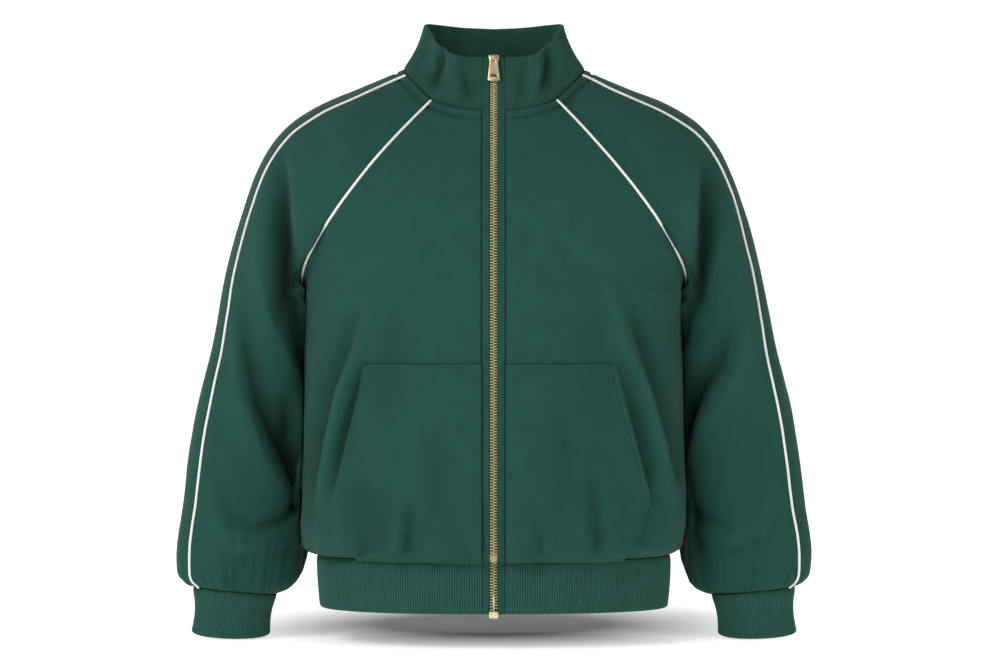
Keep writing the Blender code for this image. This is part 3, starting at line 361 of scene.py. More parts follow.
# Each crease: half width, or the two on its left and right, then x, z and height outwards at
# points down it.
CREASES = {
    "front_right": (
        (
            (8, 10), (-114, -226, 0.5), (-120, -240, 3), (-137, -287, 7), (-157, -339, 8.5),
            (-167, -382, 8), (-179, -429, 6.5), (-187, -458, 4),
        ),
        (
            (8, 12), (-138, -246, -1), (-151, -297, -6), (-170, -339, -7.5), (-185, -392, -8),
            (-192, -434, -6.5), (-192, -472, -3),
        ),
        ((3, 6), (-139, -318, -1), (-151, -364, -3.5), (-163, -418, -3.5), (-172, -455, -1.5)),
        ((26, 26), (-138, -420, -1), (-134, -460, -3.2), (-124, -500, -3.2)),
        ((3, 3), (-144, -288, 0.5), (-154, -322, 2), (-164, -361, 2), (-173, -403, 1.5)),
        (
            (6, 5), (-134, -301, -1), (-142, -330, -4), (-153, -372, -4.5), (-163, -405, -4),
            (-170, -434, -2),
        ),
        ((16, 16), (-98, -246, 0), (-106, -299, -2), (-115, -351, -2)),
        ((9, 4), (-87, -450, -1), (-89, -477, -4), (-91, -505, -4.5)),
        ((4, 10), (-97, -455, 1), (-99, -502, 3)),
        ((5, 5), (-35, -486, -0.5), (-28, -502, -2.5), (-19, -513, -3)),
        ((4, 5), (-138, -492, -1), (-135, -513, -3)),
        ((7, 7), (-168, -455, 1), (-159, -497, 2.5)),
        ((9, 9), (-190, -476, 1.5), (-179, -507, 2.5)),
        ((14, 14), (-77, -351, 0.5), (-82, -403, 2), (-79, -455, 1.5)),
        ((10, 12), (-56, -382, -0.5), (-60, -424, -2), (-58, -465, -1.5)),
        ((10, 10), (-121, -382, 1), (-119, -434, 2)),
        ((24, 24), (-60, -132, 0), (-103, -189, 2), (-150, -236, 2)),
    ),
    "front_left": (
        (
            (10, 9), (119, -220, 0.5), (124, -238, 3), (139, -294, 7), (160, -349, 8.5),
            (175, -401, 8), (185, -445, 6), (189, -478, 2.5),
        ),
        (
            (12, 8), (137, -238, -1), (151, -283, -6), (172, -340, -7), (188, -392, -6),
            (196, -430, -4),
        ),
        ((6, 3), (131, -318, -1), (145, -372, -5), (160, -428, -5), (167, -455, -2)),
        ((5, 7), (136, -299, -1.5), (145, -330, -4.5), (159, -382, -5), (169, -420, -4)),
        ((16, 16), (98, -246, 0), (106, -299, -1.5), (113, -351, -1.5)),
        ((4, 10), (105, -424, -1), (107, -460, -4), (110, -503, -4.5)),
        ((8, 5), (117, -445, 1), (119, -499, 2.5)),
        ((5, 7), (98, -450, 1), (99, -502, 2.5)),
        ((4, 5), (49, -481, -0.5), (49, -508, -3)),
        ((6, 5), (57, -476, 0.5), (58, -505, 2)),
        ((14, 12), (69, -351, -0.5), (75, -403, -2), (69, -455, -1)),
        ((12, 12), (27, -372, 0.5), (31, -424, 1.5), (27, -476, 1)),
        ((9, 9), (190, -476, 1.5), (181, -505, 3)),
        ((6, 6), (163, -468, -1), (157, -497, -2.5)),
        ((24, 24), (60, -132, 0), (103, -189, 2), (150, -236, 2)),
    ),
    "back": (
        (20, (-150, -190, 0), (-128, -250, 5), (-104, -330, 6), (-92, -420, 3)),
        (14, (-166, -230, -1), (-146, -290, -5), (-128, -370, -5), (-118, -440, -2)),
        (20, (152, -185, 0), (132, -240, 5), (112, -310, 6), (104, -400, 4), (98, -470, 1)),
        (13, (168, -225, -1), (152, -285, -5), (136, -350, -5.5), (124, -430, -2)),
        (24, (-30, -60, 0), (-36, -140, -2), (-20, -230, -2.5), (-30, -330, -1)),
        (18, (34, -330, 0), (46, -400, 3), (40, -470, 3.5), (42, -505, 1)),
        (11, (18, -400, 0), (20, -450, -3), (22, -500, -3)),
        (9, (-54, -440, -1), (-58, -480, -3.5), (-52, -508, -3)),
        (8, (-136, -450, -1), (-130, -486, -3.5), (-138, -508, -2.5)),
        (8, (138, -462, -1), (142, -492, -3), (132, -508, -3)),
        (6, (82, -484, -2), (80, -508, -2.5)),
    ),
    "sleeve_front_right": (
        (
            (24, 5), (-220, -85, 1), (-215, -103, 3), (-211, -124, 5.5), (-209, -150, 6.5),
            (-208, -177, 5), (-210, -198, 1.5),
        ),
        (
            (9, 16), (-224, -93, -2), (-224, -119, -8), (-224, -156, -15), (-219, -193, -19),
            (-215, -225, -21), (-210, -262, -19), (-205, -299, -14), (-202, -331, -8),
        ),
        (
            (9, 13), (-230, -89, 0.5), (-240, -140, 3.5), (-245, -182, 6), (-245, -219, 7.5),
            (-240, -256, 7), (-229, -299, 6), (-214, -341, 4), (-207, -368, 2),
        ),
        (
            (13, 6), (-270, -256, -1.5), (-264, -299, -6), (-251, -352, -10), (-232, -400, -13),
            (-215, -445, -15), (-209, -460, -15),
        ),
        (
            (6, 16), (-282, -246, 1), (-276, -299, 4), (-271, -341, 5.5), (-253, -394, 5.5),
            (-235, -442, 4), (-227, -463, 2),
        ),
        ((6, 6), (-228, -352, -3), (-224, -378, -8), (-223, -403, -8), (-211, -426, -9)),
        (
            (10, 8), (-303, -410, 1), (-304, -437, 2.5), (-300, -471, 4), (-285, -498, 4.5),
            (-259, -510, 3.5), (-235, -506, 2),
        ),
        (
            (8, 6), (-288, -458, -1.5), (-278, -483, -4), (-253, -491, -4.5), (-225, -481, -6),
            (-212, -466, -8),
        ),
        ((4, 4), (-271, -522, -2), (-246, -527, -3), (-220, -518, -3)),
        ((3, 3), (-312, -542, -2.5), (-305, -538, -2.5)),
        ((12, 12), (-285, -352, 0), (-295, -394, -1.5), (-299, -426, -1)),
    ),
    "sleeve_front_left": (
        (
            (5, 24), (218, -85, 1), (214, -103, 3), (212, -129, 6), (211, -161, 6.5),
            (210, -185, 4.5), (211, -203, 1.5),
        ),
        (
            (16, 9), (218, -95, -2), (224, -124, -9), (225, -166, -16), (220, -214, -19),
            (214, -251, -17), (209, -283, -12),
        ),
        ((10, 8), (247, -140, 1), (242, -177, 4), (231, -219, 6), (220, -265, 6), (213, -299, 4)),
        (
            (7, 12), (255, -272, -2), (242, -312, -8), (226, -341, -13), (213, -373, -16),
            (207, -410, -15),
        ),
        (
            (15, 7), (246, -119, 0.5), (255, -188, 3), (266, -230, 4.5), (269, -272, 5.5),
            (260, -318, 6), (245, -349, 6), (229, -378, 5), (218, -415, 2),
        ),
        ((8, 6), (208, -426, -8), (208, -458, -9), (212, -490, -8), (218, -509, -6)),
        (
            (9, 9), (297, -405, 1), (294, -458, 3), (279, -486, 4), (248, -501, 3.5),
            (225, -490, 2),
        ),
        ((4, 4), (287, -501, -2.5), (269, -512, -3), (242, -514, -3)),
        ((6, 6), (242, -485, -2), (225, -479, -4), (214, -466, -5)),
        ((3, 3), (312, -535, -2.5), (318, -539, -2)),
        ((14, 14), (273, -352, 0.5), (282, -394, -1.5), (285, -437, -1.5)),
    ),
    "sleeve_back_right": (
        (11, (-214, -120, 0), (-222, -180, -6), (-224, -240, -8), (-214, -300, -6)),
        (12, (-236, -130, 0), (-246, -200, 5), (-240, -280, 6), (-226, -340, 3)),
        (12, (-262, -250, -1), (-266, -310, -6), (-250, -380, -7), (-226, -430, -6)),
        (14, (-290, -260, 0), (-292, -340, 4), (-276, -410, 4.5), (-252, -460, 3)),
        (8, (-312, -420, 0), (-298, -470, -4), (-262, -496, -5), (-228, -494, -4)),
        (7, (-312, -500, -1), (-280, -522, -4.5), (-236, -522, -4)),
        (6, (-296, -540, 1.5), (-262, -546, 2.5)),
    ),
    "sleeve_back_left": (
        (11, (216, -116, 0), (224, -176, -6), (228, -246, -8), (216, -310, -6)),
        (12, (240, -140, 0), (250, -210, 5), (242, -290, 6), (228, -350, 3)),
        (12, (266, -256, -1), (268, -320, -6), (254, -390, -7), (230, -440, -6)),
        (14, (294, -250, 0), (296, -330, 4), (282, -400, 4.5), (256, -450, 3)),
        (8, (314, -430, 0), (300, -476, -4), (268, -500, -5), (232, -498, -4)),
        (7, (308, -506, -1), (276, -526, -4.5), (240, -526, -4)),
        (6, (298, -540, 1.5), (266, -548, 2.5)),
    ),
}
# The creases' cross-section, the strength of the body's, and how they fade towards the seams.
CREASE_POWER = 1.7
BODY_CREASE = 1.35
CREASE_FADE = 24.0
HEAD_FADE = 12.0
UNDERARM_HEAD_FADE = 16.0
RIB_SEAM_FADE = 9.0
FOLD_FULL = 10.0
LEAN_PASSES = 60
# On a sleeve they are full where it faces this far forward, and shallow beside its long seams
# and near the underarm.
FACING_FULL = 0.45
SEAM_DEEP = 3.0
SEAM_DEEPER = 0.42
UNDERARM = np.array(FRONT_RAGLAN[0], float)
UNDERARM_NEAR = 30.0
UNDERARM_REACH = 70.0
UNDERARM_FLAT = 28.0
UNDERARM_FLAT_REACH = 60.0
UNDERARM_FOLDS = 0.15
# A sleeve's inner side is drawn up to the body, leaving this gap, where it faces it.
SNUG_GAP = 0.7
SNUG_MOST = 9.0
SNUG_FACING = 0.3
SNUG_FACING_REACH = 0.5
SNUG_TOP_FADE = 18.0
SNUG_FOOT_FADE = 90.0
# Beside the raglan piping, below this height, it stands clear of the seam: outwards by
# PIPING_CLEAR and backwards by that and the slope, up to the most.
PIPING_CLEAR_TOP = -130.0
PIPING_CLEAR = 1.8
PIPING_CLEAR_SLOPE = 2.0
PIPING_CLEAR_MOST = 8.0
PIPING_CLEAR_BACK = 30.0
PIPING_CLEAR_WIDTH = 6.0
PIPING_CLEAR_FADES = {"top": 40.0, "foot": 12.0, "seam": 4.0, "side": 16.0}

# The cloth's unevenness: a wave's length and its height.
SWELLS = ((88.0, 1.5), (41.0, 0.55), (17.0, 0.14))
GATHER_RISE = 3.23
GATHER_REACH = 15.0
GATHER_RADIUS = 150.0
GATHER_LENGTH = 13.0
GATHER_RUN = 90.0
BROAD_GATHER = 3.0
BROAD_GATHER_SHARE = 0.6
WRIST_BEHIND = 14.0
# Seams and topstitching draw the cloth in, less so in the band between the neck seam and its row.
SEAM_DIP = 1.5
SEAM_DIP_REACH = 1.9
NECK_DIP_SHARE = 0.4
NECK_STITCH = 9.0
NECK_BAND_RISE = 0.5
BAND_EDGE = 2.0
STITCH_DIP = 2.0
STITCH_DIP_REACH = 1.8
# Painted shade in the neck topstitch groove, carried in the fold values.
GROOVE_SHADE = 0.75
PUCKER = 2.2
PUCKER_LENGTH = 15.0
NECK_LOWEST = -80.0
NECK_STEP = 2.0
FAR = 1e3


def crease_height(x, z, half_widths, *line):
    """How high one crease stands over the cloth at each point."""
    left, right = half_widths if isinstance(half_widths, tuple) else (half_widths, half_widths)
    nearest = np.full(x.shape, np.inf)
    height = np.zeros(x.shape)
    half_width = np.full(x.shape, float(left))
    for (x1, z1, h1), (x2, z2, h2) in zip(line[:-1], line[1:]):
        run_x, run_z = x2 - x1, z2 - z1
        place = np.clip(((x - x1) * run_x + (z - z1) * run_z) / (run_x**2 + run_z**2), 0, 1)
        away = np.hypot(x - x1 - place * run_x, z - z1 - place * run_z)
        aside = (run_x * (z - z1) - run_z * (x - x1)) / math.hypot(run_x, run_z)
        beside = np.clip(aside / np.maximum(away, 1e-6), -1, 1)
        width = (left + right) / 2 + (left - right) / 2 * beside
        half_width = np.where(away < nearest, width, half_width)
        height = np.where(away < nearest, h1 + (h2 - h1) * place, height)
        nearest = np.minimum(away, nearest)
    return height * np.exp(-((nearest / half_width) ** CREASE_POWER))


def creased(creases, x, z):
    return sum(crease_height(x, z, *crease) for crease in creases)


def bell(distance, half_width):
    """1 on a line, falling off smoothly to each side of it."""
    return np.exp(-((distance / half_width) ** 2))


def waves(x, y, z):
    """Smooth unevenness at these places. Each of x, y and z is an array or one number."""
    places = np.broadcast_arrays(x, y, z)
    heights = [noise.noise(Vector(place)) for place in zip(*(axis.ravel() for axis in places))]
    return np.array(heights).reshape(places[0].shape)


def swell(grid):
    """The slow unevenness of hanging cloth, the same on both sides of every seam."""
    places = np.moveaxis(grid, -1, 0)
    return sum(rise * waves(*places / length) for length, rise in SWELLS)


def gathers(grid, above, centre=(0.0, 0.0)):
    """Small folds where the cloth is eased into a rib, above the seam between them."""
    turn = np.arctan2(grid[..., 1] - centre[1], grid[..., 0] - centre[0]) * GATHER_RADIUS
    place, run = turn / GATHER_LENGTH, grid[..., 2] / GATHER_RUN
    wave = waves(place, 7.5, run) + BROAD_GATHER_SHARE * waves(place / BROAD_GATHER, 2.5, run)
    reach = above / GATHER_REACH
    return GATHER_RISE * wave * reach * np.exp(1 - reach)


def border_reaches(grid):
    """Each point's distance along the cloth from the first and last row and column."""
    down = np.linalg.norm(np.diff(grid, axis=0), axis=2)
    over = np.linalg.norm(np.diff(grid, axis=1), axis=2)
    down = np.concatenate([np.zeros((1, grid.shape[1])), np.cumsum(down, axis=0)])
    over = np.concatenate([np.zeros((grid.shape[0], 1)), np.cumsum(over, axis=1)], axis=1)
    return down, down[-1:] - down, over, over[:, -1:] - over


def broad_normals(ways):
    """The panel's normals evened out over some 30 mm, the way its creases lean."""
    for axis in (0, 1):
        for _ in range(LEAN_PASSES):
            padded = np.concatenate([ways.take([0], axis), ways, ways.take([-1], axis)], axis)
            count = ways.shape[axis]
            before, after = (padded.take(range(low, low + count), axis) for low in (0, 2))
            ways = (before + 2 * ways + after) / 4
    return unit(ways)


def body_relief(name, grid):
    """The creases, swell and gathers of a front or back, away from its seams' dips."""
    x, z = grid[..., 0], grid[..., 2]
    above = np.clip(z - BODY[0][0], 0, None)
    return BODY_CREASE * creased(CREASES[name], x, z), swell(grid) + gathers(grid, above)


def sleeve_folds(name, grid, seam_gap, underarm):
    """A sleeve piece's creases, shallow beside its long seams and near the underarm."""
    facing = soft_step(np.abs(normals[name][..., 1]), FACING_FULL)
    folds = creased(CREASES[name], grid[..., 0], grid[..., 2]) * facing
    folds = np.maximum(folds, -(SEAM_DEEP + SEAM_DEEPER * seam_gap))
    away = soft_step(underarm - UNDERARM_FLAT, UNDERARM_FLAT_REACH)
    return folds * (UNDERARM_FOLDS + (1 - UNDERARM_FOLDS) * away)


def body_gap(grid):
    """The air left between a sleeve's inner side and the body, below the armhole."""
    x, y, z = np.moveaxis(grid, -1, 0)
    side = body_side(y.ravel(), np.clip(z.ravel(), BODY[0][0], BODY[-1][0])).reshape(z.shape)
    low = soft_step(BODY[-1][0] - z, SNUG_TOP_FADE) * soft_step(z - ARM_REST_Z, SNUG_FOOT_FADE)
    return (np.abs(x) - side - SNUG_GAP) * low


def behind_piping(grid, head_end):
    """The front sleeve's cloth, kept from standing over its raglan seam low down."""
    seam = along(FRONT_RAGLAN, np.linspace(0, 1, LINE_SAMPLES))
    side, fades = np.sign(grid[0, 0, 0]), PIPING_CLEAR_FADES
    x, y, z = grid[..., 0] * side, grid[..., 1], grid[..., 2]
    seam_x, seam_y = (np.interp(z, seam[:, 2], seam[:, axis]) for axis in (0, 1))
    share = soft_step(PIPING_CLEAR_TOP - z, fades["top"])
    share *= soft_step(z - UNDERARM[2], fades["foot"]) * soft_step(head_end, fades["seam"])
    share *= y < seam_y + PIPING_CLEAR_BACK
    share *= 1 - soft_step(x - seam_x - PIPING_CLEAR_WIDTH, fades["side"])
    beside = np.maximum(x, seam_x + PIPING_CLEAR)
    slope = PIPING_CLEAR_SLOPE * (beside - seam_x).clip(0)
    behind = np.maximum(y, seam_y - PIPING_CLEAR - slope)
    made = grid.copy()
    made[..., 0] += side * (beside - x) * share
    made[..., 1] += (behind - y).clip(0, PIPING_CLEAR_MOST) * share
    return made


def sew_up(flat, raised):
    """Brings the edges that share a seam together again, where their panels were raised apart."""
    shared = {}
    for name, grid in flat.items():
        for row, column, key in border_points(grid):
            shared.setdefault(key, []).append((name, row, column))
    for places in shared.values():
        middle = np.mean([raised[name][row, column] for name, row, column in places], axis=0)
        for name, row, column in places:
            raised[name][row, column] = middle


def neck_reaches(grid):
    """Each point's distance from the neck seam, where it is near it."""
    flat = grid.reshape(-1, 3)
    near = flat[:, 2] > NECK_LOWEST
    distance = np.full(len(flat), FAR)
    gaps = np.linalg.norm(flat[near][:, None] - neck_seam[None], axis=2)
    distance[near] = gaps.min(axis=1)
    return distance.reshape(grid.shape[:2])


corner = len(RAGLAN_SHARES) - 1
half_neck = np.concatenate(
    [
        front[-1],
        sleeve_front[0, corner + 1 :],
        sleeve_back[0, 1 : len(neck_back_shares)],
        back_half[-1][::-1][1:],
    ]
)
neck_reach = lengths(half_neck)
neck_seam = at_reaches(half_neck, neck_reach, np.arange(0, neck_reach[-1], NECK_STEP))
neck_seam = np.concatenate([neck_seam, mirrored(neck_seam)])
normals = shared_normals(skins)
hung = {}
seam_reaches = {}
fold_and_groove_shade = {}
for name, grid in skins.items():
    low, high, first, last = border_reaches(grid)
    sleeve = name.startswith("sleeve")
    rib_end, head_end = (high, low) if sleeve else (low, high)
    if sleeve:
        side = np.sign(grid[..., 0].mean())
        underarm = np.linalg.norm(grid * (side, 1, 1) - UNDERARM, axis=2)
        folds = sleeve_folds(name, grid, np.minimum(first, last), underarm)
        near = 1 - soft_step(underarm - UNDERARM_NEAR, UNDERARM_REACH)
        head_fade = HEAD_FADE + UNDERARM_HEAD_FADE * near
        wrist = grid[-1].mean(axis=0)
        loose = swell(grid) + gathers(grid, rib_end, (wrist[0], wrist[1] + WRIST_BEHIND))
    else:
        folds, loose = body_relief(name, grid)
        head_fade = CREASE_FADE
    fade = soft_step(rib_end, RIB_SEAM_FADE) * soft_step(head_end / head_fade, 1.0)
    fade *= soft_step(first, CREASE_FADE) * soft_step(last, CREASE_FADE)
    seams = np.minimum(np.minimum(low, high), np.minimum(first, last))
    neck = neck_reaches(grid)
    stitch_groove = bell(neck - NECK_STITCH, STITCH_DIP_REACH)
    dip = SEAM_DIP * (NECK_DIP_SHARE + (1 - NECK_DIP_SHARE) * soft_step(neck, NECK_STITCH))
    height = loose - dip * bell(seams, SEAM_DIP_REACH)
    height += NECK_BAND_RISE * (1 - soft_step(neck - NECK_STITCH + BAND_EDGE / 2, BAND_EDGE))
    puckers = PUCKER * waves(*np.moveaxis(grid, -1, 0) / PUCKER_LENGTH)
    height += puckers * bell(neck - NECK_STITCH / 2, NECK_STITCH)
    height -= STITCH_DIP * stitch_groove
    hung[name] = grid + normals[name] * height[..., None]
    hung[name] += broad_normals(normals[name]) * (folds * fade)[..., None]
    if sleeve:
        inwards = soft_step(-normals[name][..., 0] * side - SNUG_FACING, SNUG_FACING_REACH)
        hung[name][..., 0] -= side * body_gap(hung[name]).clip(0, SNUG_MOST) * inwards
    if name.startswith("sleeve_front"):
        hung[name] = behind_piping(hung[name], head_end)
    seam_reaches[name] = (first, low, seams)
    # These values set painted shade in the creases and in the neck topstitch groove.
    fold_and_groove_shade[name] = folds * fade / FOLD_FULL - GROOVE_SHADE * stitch_groove
sew_up(skins, hung)

# ---------------------------------------------------------------- the fleece, sewn up
# Brushed-back cotton fleece, dyed bottle green: a matte face of fine knit with a little fuzz on
# it, and a looped, brushed back that shows where the garment is open.


class Signal:
    """One output socket of a material. Arithmetic on it adds Math nodes beside it."""

    def __init__(self, socket):
        self.socket = socket

    def node(self, kind, settings, values, output=0):
        """Adds a node: its type, its settings, then the values or links of its sockets."""
        tree = self.socket.id_data
        made = tree.nodes.new("ShaderNode" + kind)
        for key, value in settings.items():
            setattr(made, key, value)
        for key, value in values.items():
            if isinstance(value, Signal):
                tree.links.new(made.inputs[key], value.socket)
            else:
                made.inputs[key].default_value = value
        return Signal(made.outputs[output])

    def math(self, operation, *others):
        values = dict(enumerate((self, *others)))
        return self.node("Math", {"operation": operation}, values)

    def __add__(self, other):
        return self.math("ADD", other)

    def __mul__(self, other):
        return self.math("MULTIPLY", other)

    def __rsub__(self, other):
        return self.math("MULTIPLY", -1.0).math("ADD", other)

    def __sub__(self, other):
        return self.math("SUBTRACT", other)

    def __truediv__(self, other):
        return self.math("DIVIDE", other)

    def __pow__(self, other):
        return self.math("POWER", other)

    __radd__ = __add__
    __rmul__ = __mul__

    def part(self, axis):
        return self.node("SeparateXYZ", {}, {0: self}, axis)

    def between(self, low, high):
        """This as the share of the way from one colour to another."""
        return self.node("Mix", {"data_type": "RGBA"}, {0: self, 6: low, 7: high}, 2)

    def wave(self):
        """Its sine, brought between 0 and 1."""
        return self.math("SINE") * 0.5 + 0.5

    def speckle(self, scale, detail, roughness=0.5):
        """A cloudy noise over the places that this signal gives."""
        values = {"Vector": self, "Scale": scale, "Detail": detail, "Roughness": roughness}
        return self.node("TexNoise", {}, values)

    def feed(self, shader, socket):
        shader.id_data.links.new(shader.inputs[socket], self.socket)

    def raise_surface(self, shader, strength, distance=MM):
        """Bumps the surface by this signal."""
        values = {"Strength": strength, "Distance": distance, "Height": self}
        self.node("Bump", {}, values).feed(shader, "Normal")


def new_finish(name, roughness, **settings):
    """A material, its shader and a signal to build on. Settings are the shader's own values."""
    finish = bpy.data.materials.new(name)
    finish.use_nodes = True
    shader = finish.node_tree.nodes["Principled BSDF"]
    shader.inputs["Roughness"].default_value = roughness
    for key, value in settings.items():
        shader.inputs[key.replace("_", " ")].default_value = value
    return finish, shader, Signal(shader.outputs[0])


# Each cloth piece's mesh carries "cloth": how far a point lies across and down its piece and
# from its nearest seam, in millimetres. "fold" is how high a crease it lies on, or how deep, and
# sets painted shade in a crease's valley and a painted highlight on its ridge.
FLEECE = 2.0
KNIT_PITCH = 1.1
COURSE_PITCH = 0.85
# Painted shade in the seams' grooves: the colour darkens within this distance of a seam.
SEAM_GROOVE_PAINTED_SHADE_REACH = 1.7
# Painted light and shade in the creases: the colour darkens in their valleys and lightens on their
# ridges, and deep valleys are mixed towards a near-black painted shade colour.
FOLD_PAINTED_LIGHT = 0.25
FOLD_SHADE = 0.5
FOLD_SHADE_MOST = 0.75
FOLD_PAINTED_SHADE_COLOUR = (0.003, 0.012, 0.009, 1)
COTTON = {"Sheen_Weight": 0.045, "Sheen_Roughness": 0.5, "Specular_IOR_Level": 0.15}


def mesh_value(start, name, output):
    return start.node("Attribute", {"attribute_name": name}, {}, output)


def with_painted_fold_shade(fold, lit):
    """The cloth's colour with painted shade: darker where it lies deep in a fold."""
    painted_shade_share = (fold * -FOLD_SHADE).math("MAXIMUM", 0.0).math("MINIMUM", FOLD_SHADE_MOST)
    return painted_shade_share.between(lit, FOLD_PAINTED_SHADE_COLOUR)


def fleece_finish(name, dark, light, fuzz_bump, knit_bump):
    finish, shader, start = new_finish(name, 0.92, **COTTON)
    cloth, fold = mesh_value(start, "cloth", 1), mesh_value(start, "fold", 2)
    across, down, seam = cloth.part(0), cloth.part(1), cloth.part(2)
    wales = (across * (math.pi / KNIT_PITCH)).math("SINE").math("ABSOLUTE")
    lean = (across * (2 * math.pi / KNIT_PITCH)).math("COSINE") * 0.9
    courses = (down * (2 * math.pi / COURSE_PITCH) + lean).wave()
    knit = wales**0.6 * (courses * 0.45 + 0.55)
    fuzz, mottle = cloth.speckle(1.35, 3.0, 0.7), cloth.speckle(0.045, 4.0, 0.6)
    pill = cloth.speckle(0.32, 2.0, 0.55)
    # Painted shade in the seams' grooves, darkest right on the seam.
    edge = (1 - (seam / SEAM_GROOVE_PAINTED_SHADE_REACH).math("MINIMUM", 1.0)) ** 1.5
    # Painted shade in the creases' valleys and a painted highlight on their ridges, from the fold
    # values.
    tone = mottle * 0.55 + fuzz * 0.3 + pill * 0.2 + knit * 0.08 - edge * 0.55 + fold * FOLD_PAINTED_LIGHT
    with_painted_fold_shade(fold, tone.between((*dark, 1), (*light, 1))).feed(shader, "Base Color")
    (fuzz * 0.12 + 0.84).feed(shader, "Roughness")
    (knit * knit_bump + fuzz * fuzz_bump + pill * fuzz_bump).raise_surface(shader, 0.55)
    return finish


fleece = fleece_finish(
    "green fleece", (0.0072, 0.047, 0.0345), (0.0190, 0.089, 0.068), fuzz_bump=0.30, knit_bump=0.14
)
fleece_back = fleece_finish(
    "brushed back", (0.0068, 0.042, 0.031), (0.0220, 0.097, 0.075), fuzz_bump=0.75, knit_bump=0.05
)
fleece_faces = (fleece, fleece_back)


def grid_quads(rows, columns, wrap_rows=False, wrap_columns=False):
    """The faces of a grid of points that are numbered row by row."""
    row = np.arange(rows if wrap_rows else rows - 1)[:, None]
    column = np.arange(columns if wrap_columns else columns - 1)[None, :]
    next_row, next_column = (row + 1) % rows, (column + 1) % columns
    corners = [
        row * columns + column,
        row * columns + next_column,
        next_row * columns + next_column,
        next_row * columns + column,
    ]
    shape = (row.shape[0], column.shape[1])
    return np.stack([np.broadcast_to(c, shape) for c in corners], axis=-1).reshape(-1, 4)


def placed(name, data):
    """A new object in the scene."""
    made = bpy.data.objects.new(name, data)
    bpy.context.scene.collection.objects.link(made)
    return made


def mesh_object(name, points, quads, finishes, cloth=None, finish_of=None, fold=None):
    """An object from points in millimetres and four-cornered faces, turned outwards."""
    points = np.asarray(points, float) * MM
    a, b, c, d = (points[quads[:, corner]] for corner in range(4))
    volume = np.sum(np.cross(a, b) * c) + np.sum(np.cross(a, c) * d)
    if volume < 0:
        quads = quads[:, ::-1]
    mesh = bpy.data.meshes.new(name)
    mesh.vertices.add(len(points))
    mesh.vertices.foreach_set("co", points.ravel())
    mesh.loops.add(quads.size)
    mesh.loops.foreach_set("vertex_index", quads.astype(np.int32).ravel())
    mesh.polygons.add(len(quads))
    mesh.polygons.foreach_set("loop_start", np.arange(0, quads.size, 4, dtype=np.int32))
    mesh.polygons.foreach_set("use_smooth", np.ones(len(quads), bool))
    for finish in finishes:
        mesh.materials.append(finish)
    if finish_of is not None:
        mesh.polygons.foreach_set("material_index", finish_of.astype(np.int32))
    mesh.update(calc_edges=True)
    if cloth is not None:
        places = mesh.attributes.new("cloth", "FLOAT_VECTOR", "POINT")
        places.data.foreach_set("vector", np.asarray(cloth, np.float32).ravel())
    if fold is not None:
        creases = mesh.attributes.new("fold", "FLOAT", "POINT")
        creases.data.foreach_set("value", np.asarray(fold, np.float32).ravel())
    mesh.validate()
    return placed(name, mesh)


def cloth_shell(name, outer, directions, thick, cloth, fold, finishes):
    """A piece of cloth with its thickness: a face and a back, joined round their borders."""
    rows, columns = outer.shape[:2]
    inner = outer - directions * thick
    face = grid_quads(rows, columns)
    count = rows * columns
    index = np.arange(count).reshape(rows, columns)
    rims = []
    for line in (index[0], index[-1][::-1], index[::-1, 0], index[:, -1]):
        rims.append(np.stack([line[:-1], line[:-1] + count, line[1:] + count, line[1:]], axis=1))
    rim = np.concatenate(rims)
    quads = np.concatenate([face, face[:, ::-1] + count, rim])
    points = np.concatenate([outer.reshape(-1, 3), inner.reshape(-1, 3)])
    finish_of = np.concatenate([np.zeros(len(face)), np.ones(len(face)), np.zeros(len(rim))])
    cloth, fold = np.concatenate([cloth, cloth]), np.concatenate([fold, -fold])
    return mesh_object(name, points, quads, finishes, cloth, finish_of, fold)


def cut_of(piece_points):
    """A piece's cut as a width and length in metres that hold it, and its area."""
    a, b, c = piece_points[:-1, :-1], piece_points[1:, :-1], piece_points[:-1, 1:]
    area = np.linalg.norm(np.cross(b - a, c - a), axis=2).sum() * MM * MM
    down, _, over, _ = border_reaches(piece_points)
    length = down[-1].max() * MM
    return (max(over[:, -1].max() * MM, area / length), length), area


for name, grid in hung.items():
    ways, cloth = normals[name], np.stack(seam_reaches[name], axis=-1).reshape(-1, 3)
    fold = fold_and_groove_shade[name]
    piece = cloth_shell(name + "_cloth", grid, ways, FLEECE, cloth, fold, fleece_faces)
    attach(piece, "garment")
    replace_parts(piece, name)
    flat, area = cut_of(skins[name])

# ---------------------------------------------------------------- the pockets
# Two patch pockets of the same fleece, stitched on along the top, the lower slanted edge, the zip
# strip and the hem. The long slanted edge is the mouth, turned in and topstitched.

POCKET_TOP = -313.0
POCKET_FOOT = -519.0
POCKET_MOUTHS = {
    "left": ((127, -313), (142, -372), (157, -428), (164, -457), (160, -474), (136, -520)),
    "right": ((136, -313), (148, -364), (160, -418), (170, -459), (163, -476), (143, -520)),
}
POCKET_WIDTH = 150.0
POCKET_CLOTH = 1.9
POCKET_RISE = 2.5
POCKET_SEAM_DIP = 1.2
POCKET_SEAM_REACH = 1.6
EDGE_SMOOTHING = (0.1, 0.2, 0.4, 0.2, 0.1)
# The mouth ends at this height. Above it the edge stands off the front and is free.
MOUTH_FOOT = -464.0
MOUTH_FADE = 14.0
MOUTH_FREE = 30.0
MOUTH_LIFT = {"left": 4.2, "right": 2.4}
MOUTH_REACH = 24.0
MOUTH_LIFT_POWERS = (1.5, 0.8)
MOUTH_HEM = 6.5
MOUTH_HEM_RISE = 0.5
MOUTH_STITCH_DIP = 1.2
TURNED_EDGE = 1.1
TURNED_EDGE_REACH = 0.8
SIDES = (("left", 1), ("right", -1))


